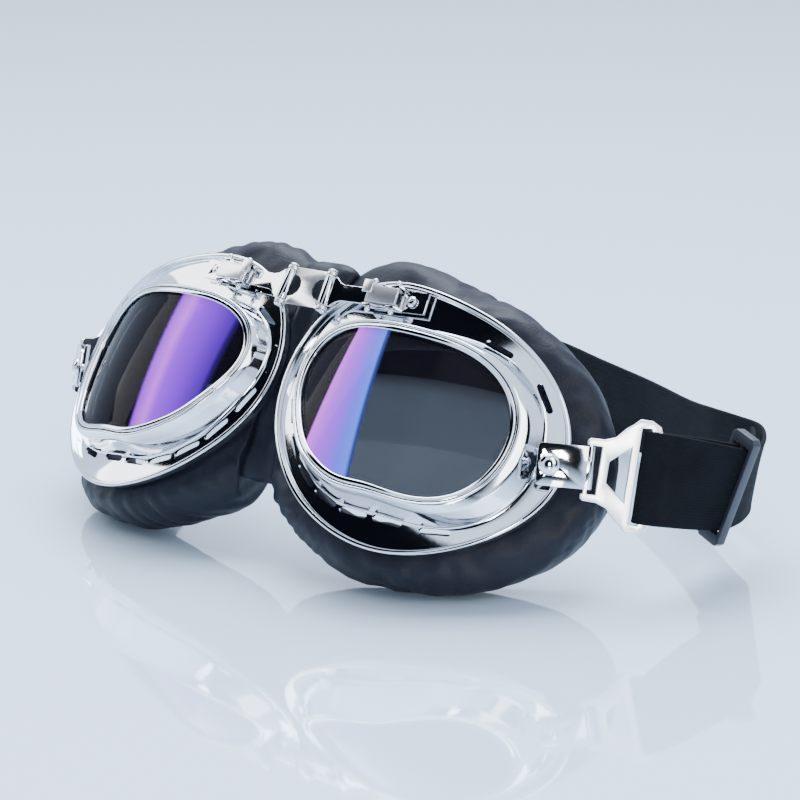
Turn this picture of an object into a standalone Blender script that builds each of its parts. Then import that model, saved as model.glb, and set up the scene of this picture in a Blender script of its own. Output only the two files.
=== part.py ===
"""Motorcycle goggles: two domed metal eyecups on a folding bridge, with soft cushions and an elastic strap.

Millimetres are used throughout and multiplied by MM at the end. +Z is up, the lenses face -Y, and the
goggles stand on their cushions and on the back of the strap, as they do on a table.
The right half is modelled, on the +X side, and the left half is its mirror image.
"""

import math

import bmesh
import bpy
import numpy as np
from mathutils import Matrix, Vector

MM = 0.001

# Where the goggles stand
CUP_SPACING = 84.0  # between the centres of the two eyecups
CUP_HEIGHT = 47.6  # of those centres above the table
CUP_FORWARD = 79.2  # of those centres in front of the origin
LEAN = math.radians(36.8)  # the eyecups lean back
CUP_YAW = math.radians(9.3)  # each eyecup looks outwards
CUP_CANT = math.radians(7.1)  # each eyecup droops at its outer end

# Eyecup outlines: twelve radii each, from the outer side round over the top
FLANGE_RADII = (52.4, 50.4, 43.6, 41.8, 45.2, 43.9, 39.2, 34.4, 33.0, 35.2, 39.8, 45.7)
LENS_RADII = (36.4, 36.5, 28.7, 24.7, 27.6, 32.3, 26.6, 21.9, 20.1, 20.1, 22.8, 31.8)
FLANGE_CURVE = 115.0  # radius of the flange's wrap from side to side
FLANGE_SLOPE = 0.03  # the flange rises forwards towards its top
LENS_CURVE = 50.0  # radius of the lens's wrap from side to side
LENS_CROWN = 172.0  # radius of the lens from top to bottom
LENS_FORWARD = 8.7  # of the lens's middle in front of the flange
SEGMENTS = 40

# Eyecup parts
SHEET = 0.9
FLANGE_SINK = 1.6  # the flange lies this far behind its bead
BEAD = 1.6  # width of the rolled outer bead
RING_FOOT = 5.6  # the raised ring's width, and its extra width on the outer side
RING_FOOT_OUTER = 2.8
BEZEL_WIDTH = 1.7
LENS_THICKNESS = 1.8
GASKET = 1.2
GAP = 0.3
SEAT_ANGLE = math.radians(112)  # the flange dips here, under the bridge
SEAT_SPREAD = math.radians(30)
SEAT_SINK = 1.5
SEAT_NARROWING = 1.2
VENT_LENGTH = 9.0
VENT_WIDTH = 1.9
VENT_ANGLES = (28, 52, 140, 162, 184, 206, 228, 250, 272, 294, 316)

# Cushions
CUSHION_DEPTH = 25.0
CUSHION_FLARE = 7.0  # how far the cushion stands out beyond the flange
NOSE_CORNER_FLARE = 4.4  # added beside the bridge
NOSE_CORNER_ANGLE = math.radians(118)
NOSE_CHEEK_FLARE = 3.0  # added beside the nose
NOSE_CHEEK_ANGLE = math.radians(212)
FLARE_SPREAD = math.radians(26)
CUSHION_SEGMENTS = 36
CUSHION_SETTLE = 2.1  # the part of a cushion this near the table is pressed flat on it
NOSE_HALF_GAP = 4.6  # between a cushion and the middle plane, at the front
NOSE_SPLAY = 0.16  # how fast that gap opens towards the face
WEB_HALF_WIDTH = 4.2

# Bridge
PIN_SPACING = 15.3
PIN_BACK = 20.7  # of the hinge pins behind the eyecups' centres
PIN_RISE = 28.1  # of the hinge pins above the eyecups' centres
BRIDGE_LIFT = 2.6  # forwards, square to the bridge
BRIDGE_LEAN = math.radians(34.9)
PIN_CANT = math.radians(3.1)  # the pins lean together at the top
ARM_SWEEP = math.radians(2.4)  # the arms run slightly backwards from the pins
PIN_RADIUS = 0.75
PIN_HEIGHT = 12.6
PIN_HEAD_RADIUS = 1.5
BARREL_RADIUS = 1.75
BARREL_HEIGHT = 9.2
EAR_HEIGHT = 1.0
LINK_HEIGHT = 11.6
LINK_NOTCH = 3.5
LEAF = 0.8  # thickness of the link, the tongue and the channel
TONGUE_HEIGHT = 5.0
TONGUE_END = 20.4
CHANNEL_START = 15.0
CHANNEL_END = 27.0
CHANNEL_HEIGHT = 7.0
PLATE_HEIGHT = 6.4
PLATE_END = 34.4
PLATE_DROP = 0.8  # of the channel's floor behind the hinge pins
GUIDE_PIN_AT = 16.6
GUIDE_PIN_RADIUS = 0.55
LEVER_PIN_AT = 24.8
LEVER_PIN_FORWARD = 1.2
LEVER_PIN_RADIUS = 0.6
LEVER_START = 15.8
LEVER_TOP = 2.9
BALL_RADIUS = 0.8
SCREW_AT = 29.6
SCREW_HEAD = 1.6

# Strap fittings
TAB_ANGLE = math.radians(6)  # round the flange, where the tab crosses the bead
TAB_SWEEP = math.radians(42)  # the tab points this far backwards
TAB_DROP = math.radians(8)
TAB_LEAN = math.radians(12)
TAB_STANDOFF = 2.6  # from the top of the bead
TAB_HEIGHT = 12.0
TAB_INSIDE = 8.4  # how far the tab reaches in over the flange
TAB_OUTSIDE = 4.6
TAB_THICKNESS = 0.8
CURL_RADIUS = 1.6
RIVET_RADIUS = 3.0
RIVET_FROM_END = 3.4
BAR_RADIUS = 0.55
BAR_CLEARANCE = 0.55
BUCKLE_DROP = math.radians(10.5)
BUCKLE_SLIDE = 0.5  # down its bar
BUCKLE_HALF = 15.9
BUCKLE_LENGTH = 19.2
BUCKLE_THICKNESS = 1.2
SLOT_START = 13.4  # of the strap slot, from the buckle's bar
SLOT_END = 16.0
LEFT_BUCKLE_SWING = math.radians(45)

# Strap
STRAP_WIDTH = 26.0
STRAP_THICKNESS = 1.3
SLIDER_AT = (121.2, -21.6, 27.2)
SLIDER_LEAN = (0.31, 0.12)
SLIDER_HEIGHT = 34.0
SLIDER_WIDTH = 9.6
SLIDER_THICKNESS = 2.8
SLIDER_BAR = 0.9
SLIDER_SLOT = 2.9
STRAP_STEPS = 60
STRAP_TAIL = 13  # steps of the doubled part, from the right buckle past the slider
# Centres of the band's outer layer and the lean of its upper edge, from the slider round the back
STRAP_ROUTE = (
    ((121.9, -15.0, 25.4), (0.30, 0.12)),
    ((119.8, -5.5, 25.2), (0.20, 0.14)),
    ((113.5, 5.8, 25.0), (0.08, 0.08)),
    ((101.5, 14.0, 23.7), (0.03, 0.04)),
    ((88.0, 23.5, 21.6), (0, 0)),
    ((72.0, 36.5, 18.4), (0, 0)),
    ((44.0, 58.0, 15.2), (0, 0)),
    ((13.0, 76.5, 13.4), (0, 0)),
    ((-11.0, 89.0, 13.0), (0, 0)),
    ((-34.0, 96.2, 13.0), (0, 0)),
    ((-60.0, 99.2, 13.0), (0, 0)),
    ((-86.0, 97.0, 13.0), (0, 0)),
    ((-112.0, 86.0, 13.0), (0, 0)),
    ((-127.0, 64.0, 13.6), (0, 0)),
    ((-129.4, 38.0, 17.0), (0, 0)),
    ((-118.0, 12.0, 23.0), (0, 0)),
)


def clear_scene():
    for obj in list(bpy.data.objects):
        bpy.data.objects.remove(obj)


def material(name, colour, roughness, metallic=0.0):
    made = bpy.data.materials.get(name)
    if made is None:
        made = bpy.data.materials.new(name)
        made.use_nodes = True
        shader = made.node_tree.nodes["Principled BSDF"]
        shader.inputs["Base Color"].default_value = (*colour, 1.0)
        shader.inputs["Roughness"].default_value = roughness
        shader.inputs["Metallic"].default_value = metallic
        made.diffuse_color = (*colour, 1.0)
    return made


def chrome():
    return material("chrome", (0.82, 0.83, 0.86), 0.08, 1.0)


def leatherette():
    return material("leatherette", (0.028, 0.03, 0.042), 0.5)


# Placing ------------------------------------------------------------------


def cup_matrix():
    """From the right eyecup's own (outwards, backwards, up) to the world, in millimetres."""
    place = Matrix.Translation((CUP_SPACING / 2, -CUP_FORWARD, CUP_HEIGHT))
    turn = Matrix.Rotation(CUP_YAW, 4, "Z") @ Matrix.Rotation(-LEAN, 4, "X")
    return place @ turn @ Matrix.Rotation(CUP_CANT, 4, "Y")


CUP = cup_matrix()


def on_cup(u, v, w):
    """World point of the right eyecup: u outwards, v up and w forwards."""
    return CUP @ Vector((u, -w, v))


def arm_matrix():
    """From the right bridge arm's own (outwards, backwards, up) to the world. Its origin is the hinge pin."""
    place = Matrix.Translation((PIN_SPACING / 2, PIN_BACK - CUP_FORWARD, PIN_RISE + CUP_HEIGHT))
    turn = Matrix.Rotation(-BRIDGE_LEAN, 4, "X") @ Matrix.Translation((0, -BRIDGE_LIFT, 0))
    return place @ turn @ Matrix.Rotation(-PIN_CANT, 4, "Y") @ Matrix.Rotation(ARM_SWEEP, 4, "Z")


ARM = arm_matrix()


def on_arm(o, f, h):
    """World point of the right bridge arm: o outwards, f forwards and h up along the pin."""
    return ARM @ Vector((o, -f, h))


def smooth_radius(radii):
    """A smooth closed outline through radii at equal angles, as a function of the angle."""
    waves = np.fft.rfft(radii) / len(radii)

    def radius(angle):
        total = waves[0].real
        for k, wave in enumerate(waves[1:], start=1):
            share = 1 if 2 * k == len(radii) else 2
            total += share * (wave * complex(math.cos(k * angle), math.sin(k * angle))).real
        return total

    return radius


flange_radius = smooth_radius(FLANGE_RADII)
lens_radius = smooth_radius(LENS_RADII)


def flange_height(u, v):
    return FLANGE_SLOPE * (v - u) - u * u / (2 * FLANGE_CURVE)


def lens_height(u, v):
    return LENS_FORWARD - u * u / (2 * LENS_CURVE) - v * v / (2 * LENS_CROWN)


def bump(angle, centre, spread):
    """One at the centre and nothing far from it, round the circle."""
    away = math.remainder(angle - centre, 2 * math.pi)
    return math.exp(-((away / spread) ** 2))


def ring_foot(angle):
    narrowing = SEAT_NARROWING * bump(angle, SEAT_ANGLE, SEAT_SPREAD)
    return RING_FOOT + RING_FOOT_OUTER * max(0.0, math.cos(angle)) ** 2 - narrowing


# Meshes -------------------------------------------------------------------


def new_object(name, points, faces, finish, origin=None, smooth=True):
    """An object from points in millimetres, its normals out, with its origin at a point in millimetres."""
    origin = Vector(origin) if origin is not None else Vector((0, 0, 0))
    mesh = bpy.data.meshes.new(name)
    mesh.from_pydata([(Vector(p) - origin) * MM for p in points], [], faces)
    shape = bmesh.new()
    shape.from_mesh(mesh)
    bmesh.ops.recalc_face_normals(shape, faces=shape.faces)
    if shape.calc_volume(signed=True) < 0:
        bmesh.ops.reverse_faces(shape, faces=shape.faces)
    shape.to_mesh(mesh)
    shape.free()
    if smooth:
        mesh.shade_smooth()
        mesh.set_sharp_from_angle(angle=math.radians(35))
    obj = bpy.data.objects.new(name, mesh)
    obj.location = origin * MM
    bpy.context.collection.objects.link(obj)
    mesh.materials.append(finish)
    return obj


def mirrored(obj, name):
    """The left copy of a right piece."""
    graph = bpy.context.evaluated_depsgraph_get()
    mesh = bpy.data.meshes.new_from_object(obj.evaluated_get(graph))
    mesh.name = name
    mesh.transform(Matrix.Diagonal((-1, 1, 1, 1)))
    mesh.flip_normals()
    copy = bpy.data.objects.new(name, mesh)
    copy.location = obj.location * Vector((-1, 1, 1))
    bpy.context.collection.objects.link(copy)
    return copy


def both_sides(obj):
    obj.name = "right_" + obj.name
    mirrored(obj, obj.name.replace("right_", "left_"))


def loops_to_faces(loops, closed_along, closed_across):
    """Quads between neighbouring loops of point numbers."""
    faces = []
    rows = len(loops) if closed_along else len(loops) - 1
    width = len(loops[0])
    columns = width if closed_across else width - 1
    for i in range(rows):
        for j in range(columns):
            a, b = loops[i], loops[(i + 1) % len(loops)]
            faces.append((a[j], b[j], b[(j + 1) % width], a[(j + 1) % width]))
    return faces


def swept_ring(profile, segments):
    """Points and faces of a closed section carried round an eyecup. profile(angle) gives (radius, forwards)."""
    points = []
    loops = []
    for i in range(segments):
        angle = 2 * math.pi * i / segments
        section = profile(angle)
        loops.append(range(len(points), len(points) + len(section)))
        points += [on_cup(r * math.cos(angle), r * math.sin(angle), w) for r, w in section]
    return points, loops_to_faces(loops, True, True)


def prism(outline, low, high, to_world, holes=()):
    """Points and faces of an outline, with holes, carried from low to high. to_world takes (x, y, level)."""
    shape = bmesh.new()
    edges = []
    for loop in (outline, *holes):
        ring = [shape.verts.new((x, y, 0.0)) for x, y in loop]
        edges += [shape.edges.new((ring[i - 1], ring[i])) for i in range(len(ring))]
    bmesh.ops.triangle_fill(shape, use_beauty=True, use_dissolve=False, edges=edges)
    flat = [vert.co.copy() for vert in shape.verts]
    shape.verts.index_update()
    caps = [[vert.index for vert in face.verts] for face in shape.faces]
    shape.free()
    count = len(flat)
    points = [to_world(p.x, p.y, low) for p in flat] + [to_world(p.x, p.y, high) for p in flat]
    faces = caps + [[i + count for i in reversed(cap)] for cap in caps]
    start = 0
    for loop in (outline, *holes):
        size = len(loop)
        for i in range(size):
            a, b = start + i, start + (i + 1) % size
            faces.append((a, b, b + count, a + count))
        start += size
    return points, faces


def circle(radius, count, centre=(0.0, 0.0)):
    return [
        (
            centre[0] + radius * math.cos(2 * math.pi * i / count),
            centre[1] + radius * math.sin(2 * math.pi * i / count),
        )
        for i in range(count)
    ]


def turned(profile, count, to_world):
    """A solid turned about its own axis. profile lists (radius, level), and its ends are on the axis."""
    points = [to_world(0, 0, profile[0][1]), to_world(0, 0, profile[-1][1])]
    loops = []
    for radius, level in profile[1:-1]:
        loops.append(list(range(len(points), len(points) + count)))
        points += [to_world(x, y, level) for x, y in circle(radius, count)]
    faces = loops_to_faces(loops, False, True)
    faces += [(0, loops[0][(j + 1) % count], loops[0][j]) for j in range(count)]
    faces += [(1, loops[-1][j], loops[-1][(j + 1) % count]) for j in range(count)]
    return points, faces


def box(low, high, to_world):
    (x0, y0, z0), (x1, y1, z1) = low, high
    return prism([(x0, y0), (x1, y0), (x1, y1), (x0, y1)], z0, z1, to_world)


def combine(target, tool, operation):
    """A Boolean that stays on the target. The tool is hidden."""
    tool.hide_render = True
    tool.display_type = "WIRE"
    step = target.modifiers.new(tool.name, "BOOLEAN")
    step.operation = operation
    step.object = tool
    step.solver = "EXACT"


# Eyecups ------------------------------------------------------------------


def sink(angle):
    """How far the flange lies behind the line of its bead."""
    return FLANGE_SINK + SEAT_SINK * bump(angle, SEAT_ANGLE, SEAT_SPREAD)


def heights(angle):
    """The lens outline's radius and height, and a function from radius to the sunk flange's height."""
    radius = lens_radius(angle)
    edge = lens_height(radius * math.cos(angle), radius * math.sin(angle))

    def flange(r):
        return flange_height(r * math.cos(angle), r * math.sin(angle)) - sink(angle)

    return radius, edge, flange


def frame_profile(angle):
    lens, edge, flange = heights(angle)
    rim = flange_radius(angle)
    seat = lens + BEZEL_WIDTH + GAP
    foot = lens + ring_foot(angle)
    shelf = edge - LENS_THICKNESS - GASKET - 2 * GAP
    inner = rim - BEAD
    crest = (seat + foot) / 2
    return [
        (lens + 0.6, shelf - SHEET),
        (lens + 0.6, shelf),
        (seat, shelf),
        (seat, edge + 0.7),
        (seat + 0.7, edge + 0.9),
        (crest, 0.75 * edge + 0.25 * flange(crest) + 0.4),
        (foot - 0.3, flange(foot) + 0.5),
        (foot + 0.6, flange(foot + 0.6)),
        (inner, flange(inner)),
        (inner + 0.4, flange(inner) + FLANGE_SINK + 0.5),
        (rim - 0.3, flange(rim) + FLANGE_SINK + 0.4),
        (rim, flange(rim) + FLANGE_SINK - 0.4),
        (rim - 0.5, flange(rim) - SHEET),
        (foot + 0.4, flange(foot) - SHEET),
        (seat + SHEET, shelf - SHEET),
    ]


def vent_cutter():
    """One box for each vent slot, along the outer foot of the raised ring."""
    points = []
    faces = []
    for degrees in VENT_ANGLES:
        angle = math.radians(degrees)
        step = math.radians(2)
        centre = lens_radius(angle) + ring_foot(angle) + 1.1
        before, after = (
            Vector((math.cos(a), math.sin(a))) * (lens_radius(a) + ring_foot(a) + 1.1)
            for a in (angle - step, angle + step)
        )
        along = (after - before).normalized()
        across = Vector((along.y, -along.x))
        middle = Vector((math.cos(angle), math.sin(angle))) * centre
        level = flange_height(*middle) - FLANGE_SINK

        def to_world(x, y, z):
            spot = middle + along * x + across * y
            return on_cup(spot.x, spot.y, level + z)

        low = (-VENT_LENGTH / 2, -VENT_WIDTH / 2, -4.0)
        high = (VENT_LENGTH / 2, VENT_WIDTH / 2, 4.0)
        more_points, more_faces = box(low, high, to_world)
        faces += [[i + len(points) for i in face] for face in more_faces]
        points += more_points
    return new_object("vent_cutter", points, faces, chrome(), smooth=False)


def eyecup_frame():
    frame = new_object("eyecup_frame", *swept_ring(frame_profile, SEGMENTS), chrome())
    combine(frame, vent_cutter(), "DIFFERENCE")
    both_sides(frame)


def bezel_profile(angle):
    lens, edge, _ = heights(angle)
    return [
        (lens, edge + GAP),
        (lens + 0.2, edge + 0.9),
        (lens + 0.8, edge + 1.2),
        (lens + BEZEL_WIDTH, edge + 0.8),
        (lens + BEZEL_WIDTH, edge - LENS_THICKNESS),
        (lens + BEZEL_WIDTH - 0.6, edge - LENS_THICKNESS),
        (lens + BEZEL_WIDTH - 0.6, edge + GAP),
    ]


def gasket_profile(angle):
    lens, edge, _ = heights(angle)
    top = edge - LENS_THICKNESS - GAP
    return [
        (lens - 0.2, top - GASKET),
        (lens + BEZEL_WIDTH, top - GASKET),
        (lens + BEZEL_WIDTH, top),
        (lens - 0.2, top),
    ]


def lens():
    """A curved plate whose front follows the lens dome, and whose edge sits inside the bezel."""
    points = [on_cup(0, 0, lens_height(0, 0)), on_cup(0, 0, lens_height(0, 0) - LENS_THICKNESS)]
    loops = []
    edge_inset = BEZEL_WIDTH - 0.6 - GAP
    for share, drop in ((0.5, 0), (1, 0), (1.1, 0), (1.1, 1), (1, 1), (0.5, 1)):
        loops.append(range(len(points), len(points) + SEGMENTS))
        for i in range(SEGMENTS):
            angle = 2 * math.pi * i / SEGMENTS
            rim = lens_radius(angle)
            radius = rim + edge_inset if share > 1 else share * rim
            level = min(radius, rim)
            height = lens_height(level * math.cos(angle), level * math.sin(angle)) - drop * LENS_THICKNESS
            points.append(on_cup(radius * math.cos(angle), radius * math.sin(angle), height))
    faces = loops_to_faces(loops, False, True)
    faces += [(0, loops[0][i - 1], loops[0][i]) for i in range(SEGMENTS)]
    faces += [(1, loops[-1][i], loops[-1][i - 1]) for i in range(SEGMENTS)]
    smoke = material("smoke_lens", (0.16, 0.16, 0.19), 0.05)
    both_sides(new_object("lens", points, faces, smoke))


def cushion_flare(angle):
    corner = NOSE_CORNER_FLARE * bump(angle, NOSE_CORNER_ANGLE, FLARE_SPREAD)
    cheek = NOSE_CHEEK_FLARE * bump(angle, NOSE_CHEEK_ANGLE, FLARE_SPREAD)
    return CUSHION_FLARE + corner + cheek


def cushion_profile(angle):
    lens, _, flange = heights(angle)
    rim = flange_radius(angle)
    inner = lens + 5.0
    outer = rim + cushion_flare(angle)
    front = flange(rim) - SHEET - GAP - 0.2
    back = front - CUSHION_DEPTH
    return [
        (inner + 1.0, front - 1.2),
        (rim - 2.5, front - 0.4),
        (rim + 3.0, front - 1.2),
        (outer - 1.5, front - 6.0),
        (outer, front - 0.5 * CUSHION_DEPTH),
        (outer - 3.0, back + 3.5),
        (rim - 1.0, back),
        (inner + 1.5, back + 3.0),
        (inner, front - 0.5 * CUSHION_DEPTH),
    ]


def nose_plane(back):
    """The closest that a cushion may come to the middle plane, this far behind the hinge pins."""
    return NOSE_HALF_GAP + NOSE_SPLAY * max(0.0, back)


def behind_bridge(point):
    """How far a world point lies behind the plane of the two hinge pins."""
    return -(point - on_arm(0, 0, 0)).dot(bridge_forward())


def bridge_forward():
    return Vector((0, -math.cos(BRIDGE_LEAN), math.sin(BRIDGE_LEAN)))


def face_cushion():
    points, faces = swept_ring(cushion_profile, CUSHION_SEGMENTS)
    for point in points:
        point.x = max(point.x, nose_plane(behind_bridge(point)))
        if point.z < CUSHION_SETTLE:
            point.z = 0.0
    both_sides(new_object("face_cushion", points, faces, leatherette()))


def nose_web():
    """The soft bridge between the cushions, a block that follows the line of the hinge pins."""
    sections = []
    levels = (
        (11.0, -6.0, -13.0),
        (3.0, -4.9, -16.0),
        (-8.0, -5.0, -17.0),
        (-20.0, -5.5, -17.0),
        (-30.0, -6.0, -14.0),
    )
    for h, front, back in levels:
        sections.append(
            [
                on_arm(0, front, h),
                on_arm(0, back, h),
            ]
        )
    points = []
    loops = []
    for front, back in sections:
        loops.append(range(len(points), len(points) + 4))
        for spot, side in ((front, 1), (front, -1), (back, -1), (back, 1)):
            points.append(Vector((side * WEB_HALF_WIDTH, spot.y, spot.z)))
    faces = loops_to_faces(loops, False, True)
    faces += [tuple(loops[0]), tuple(reversed(loops[-1]))]
    new_object("nose_web", points, faces, leatherette())


# Bridge -------------------------------------------------------------------


def along_pin(x, y, z):
    """Turned pieces and prisms whose axis is the hinge pin: x outwards, y forwards and z up."""
    return on_arm(x, y, z)


def bridge_link():
    """The plate between the pins, with half-round notches and an ear at each corner."""
    half = LINK_HEIGHT / 2
    edge = PIN_SPACING / 2 - BARREL_RADIUS - GAP

    def to_world(x, z, y):
        middle = on_arm(0, y, z)
        lean = math.tan(PIN_CANT) * z
        return Vector((x * (1 - lean / (PIN_SPACING / 2)), middle.y, middle.z))

    notch = []
    for i in range(7):
        angle = math.pi / 2 - math.pi * i / 6
        notch.append((-edge + LINK_NOTCH * math.cos(angle), LINK_NOTCH * math.sin(angle)))
    left_side = [(-edge, half)] + notch + [(-edge, -half)]
    outline = left_side + [(-x, z) for x, z in reversed(left_side)]
    link = new_object("bridge_link", *prism(outline, -LEAF / 2, LEAF / 2, to_world), chrome())
    inner = BARREL_HEIGHT / 2 + GAP
    for side in (1, -1):
        for level in (inner, -inner - EAR_HEIGHT):

            def ear_place(x, y, z, side=side):
                spot = on_arm(x, y, z)
                return Vector((side * spot.x, spot.y, spot.z))

            outer = PIN_RADIUS + GAP + 0.6
            hole = circle(PIN_RADIUS + GAP, 10)
            points, faces = prism(circle(outer, 10), level, level + EAR_HEIGHT, ear_place, [hole])
            combine(link, new_object("link_ear", points, faces, chrome()), "UNION")
            reach = PIN_SPACING / 2 - edge + 0.5
            low = (-reach, -LEAF / 2 + 0.05, level + 0.05)
            high = (-PIN_RADIUS - GAP - 0.2, LEAF / 2 - 0.05, level + EAR_HEIGHT - 0.05)
            points, faces = box(low, high, ear_place)
            combine(link, new_object("link_neck", points, faces, chrome()), "UNION")


def hinge_pin():
    half = PIN_HEIGHT / 2
    profile = [
        (0, -half - 0.7),
        (0.8, -half - 0.6),
        (PIN_HEAD_RADIUS, -half),
        (PIN_RADIUS, -half),
        (PIN_RADIUS, half),
        (PIN_HEAD_RADIUS, half),
        (0.8, half + 0.6),
        (0, half + 0.7),
    ]
    both_sides(new_object("hinge_pin", *turned(profile, 10, along_pin), chrome(), origin=on_arm(0, 0, 0)))


def hinge_tongue():
    """A leaf that flares into a rolled barrel round the pin."""
    half = TONGUE_HEIGHT / 2
    tall = BARREL_HEIGHT / 2
    outline = [(TONGUE_END, half), (TONGUE_END, -half)]
    outline += [(6.0, -half), (4.4, -half - 0.5), (3.2, -half - 1.4), (2.6, -tall), (1.0, -tall)]
    outline += [(1.0, tall), (2.6, tall), (3.2, half + 1.4), (4.4, half + 0.5), (6.0, half)]
    leaf = prism(outline, -LEAF / 2, LEAF / 2, lambda x, z, y: on_arm(x, y, z))
    tongue = new_object("hinge_tongue", *leaf, chrome(), origin=on_arm(0, 0, 0))
    barrel = prism(circle(BARREL_RADIUS, 12), -tall, tall, along_pin)
    combine(tongue, new_object("tongue_barrel", *barrel, chrome()), "UNION")
    bore = prism(circle(PIN_RADIUS + GAP, 12), -tall - 1, tall + 1, along_pin)
    combine(tongue, new_object("tongue_bore", *bore, chrome()), "DIFFERENCE")
    both_sides(tongue)


def bridge_base():
    """A floor plate with two side walls that hold the pins, on two bosses that reach the flange."""
    floor = -PLATE_DROP
    half = PLATE_HEIGHT / 2
    wall = CHANNEL_HEIGHT / 2
    low, high = (CHANNEL_START, -half, floor - LEAF), (PLATE_END, half, floor)
    base = box(low, high, lambda x, z, y: on_arm(x, y, z))
    base = new_object("bridge_base", *base, chrome(), smooth=False)
    for side in (1, -1):
        outline = [
            (CHANNEL_START + 0.1, floor - LEAF + 0.1),
            (CHANNEL_END, floor - LEAF + 0.1),
            (CHANNEL_END, 1.2),
            (CHANNEL_END - 1.2, 2.4),
        ]
        outline += [(LEVER_PIN_AT - 1.6, 2.4), (LEVER_PIN_AT - 2.6, 1.0), (GUIDE_PIN_AT + 2.6, 1.0)]
        outline += [(GUIDE_PIN_AT + 1.2, 2.4), (CHANNEL_START + 0.1, 2.4)]
        low, high = sorted((side * (wall - 0.7), side * wall))
        walls = prism(outline, low, high, lambda x, y, z: on_arm(x, y, z))
        combine(base, new_object("channel_wall", *walls, chrome()), "UNION")
        low, high = sorted((side * (half - 0.4), side * (wall - 0.3)))
        near = (CHANNEL_START + 0.2, floor - LEAF + 0.15, low)
        far = (CHANNEL_END - 0.1, floor - 0.05, high)
        sill = box(near, far, lambda x, y, z: on_arm(x, y, z))
        combine(base, new_object("channel_sill", *sill, chrome()), "UNION")
    holes = (
        (GUIDE_PIN_AT, guide_pin_forward(), GUIDE_PIN_RADIUS),
        (LEVER_PIN_AT, LEVER_PIN_FORWARD, LEVER_PIN_RADIUS),
    )
    for at, forward, radius in holes:
        bore = prism(circle(radius + GAP, 8, (at, forward)), -wall - 1, wall + 1, along_pin)
        combine(base, new_object("pin_bore", *bore, chrome()), "DIFFERENCE")
    bore = circle(0.8 + GAP, 8, (SCREW_AT, 0))
    shaft = prism(bore, floor - 2, floor + 1, lambda x, z, y: on_arm(x, y, z))
    combine(base, new_object("screw_bore", *shaft, chrome()), "DIFFERENCE")
    both_sides(base)


def guide_pin_forward():
    return LEAF / 2 + GAP + GUIDE_PIN_RADIUS


def ball_pin(name, at, forward, radius):
    """A straight pin with a ball at each end, just outside the channel's walls."""
    start = CHANNEL_HEIGHT / 2 + GAP
    ball = BALL_RADIUS
    profile = [(0, -start - 2 * ball), (0.7 * ball, -start - 1.7 * ball)]
    profile += [(ball, -start - ball), (0.7 * ball, -start)]
    profile += [(radius, -start + 0.05), (radius, start - 0.05)]
    profile += [(0.7 * ball, start), (ball, start + ball)]
    profile += [(0.7 * ball, start + 1.7 * ball), (0, start + 2 * ball)]
    points, faces = turned(profile, 8, lambda x, y, z: on_arm(at + x, forward + y, z))
    both_sides(new_object(name, points, faces, chrome(), origin=on_arm(at, forward, 0)))


def clamp_lever():
    """A raised box over the tongue, with two cheeks on the lever pin and a thumb lip."""
    half = CHANNEL_HEIGHT / 2 - 0.7 - GAP
    end = LEVER_PIN_AT + 1.3
    under = LEVER_TOP - LEAF
    plate = box((LEVER_START, -half, under), (end, half, LEVER_TOP), lambda x, z, y: on_arm(x, y, z))
    pivot = on_arm(LEVER_PIN_AT, LEVER_PIN_FORWARD, 0)
    lever = new_object("clamp_lever", *plate, chrome(), origin=pivot)
    front = LEVER_PIN_AT - 2.2
    for side in (1, -1):
        low, high = sorted((side * (half - 0.05), side * (half - 0.55)))
        first = GUIDE_PIN_AT + GUIDE_PIN_RADIUS + 2 * GAP
        last = end - 0.1
        outline = [(first, under + 0.2), (first, 0.9), (front, 0.9), (front + 0.6, 0.1)]
        outline += [(last - 0.3, 0.1), (last, 0.6), (last, under + 0.2)]
        cheek = prism(outline, low, high, lambda x, y, z: on_arm(x, y, z))
        combine(lever, new_object("lever_cheek", *cheek, chrome()), "UNION")
    low = (LEVER_START - 1.6, 0.4, under + 0.3)
    high = (LEVER_START + 1.4, half + 1.6, LEVER_TOP + 0.4)
    lip = box(low, high, lambda x, z, y: on_arm(x, y, z))
    combine(lever, new_object("lever_lip", *lip, chrome()), "UNION")
    outline = circle(LEVER_PIN_RADIUS + GAP, 8, (LEVER_PIN_AT, LEVER_PIN_FORWARD))
    bore = prism(outline, -half - 1, half + 1, along_pin)
    combine(lever, new_object("lever_bore", *bore, chrome()), "DIFFERENCE")
    both_sides(lever)


def bridge_screw():
    top = -PLATE_DROP + GAP
    profile = [(0, top - 1.7), (0.8, top - 1.6), (0.8, top), (SCREW_HEAD, top)]
    profile += [(SCREW_HEAD, top + 0.5), (0.9, top + 0.95), (0, top + 1.05)]
    points, faces = turned(profile, 10, lambda x, z, y: on_arm(SCREW_AT + x, y, z))
    both_sides(new_object("bridge_screw", points, faces, chrome()))


# Strap fittings -----------------------------------------------------------


def tab_matrix():
    """From the right tab's own (along, behind, up) to the world. Its origin is where it crosses the bead."""
    radius = flange_radius(TAB_ANGLE)
    u, v = radius * math.cos(TAB_ANGLE), radius * math.sin(TAB_ANGLE)
    bead = on_cup(u - 0.6, v, flange_height(u, v) + 0.5)
    turn = Matrix.Rotation(TAB_SWEEP, 4, "Z") @ Matrix.Rotation(-TAB_LEAN, 4, "X")
    turn = turn @ Matrix.Rotation(TAB_DROP, 4, "Y")
    return Matrix.Translation(bead) @ turn @ Matrix.Translation((0, -TAB_THICKNESS / 2 - TAB_STANDOFF, 0))


TAB = tab_matrix()


def on_tab(a, f, b):
    """World point of the right tab: a outwards along it, f out of its face and b up."""
    return TAB @ Vector((a, -f, b))


CURL_AT = TAB_OUTSIDE + CURL_RADIUS


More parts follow.
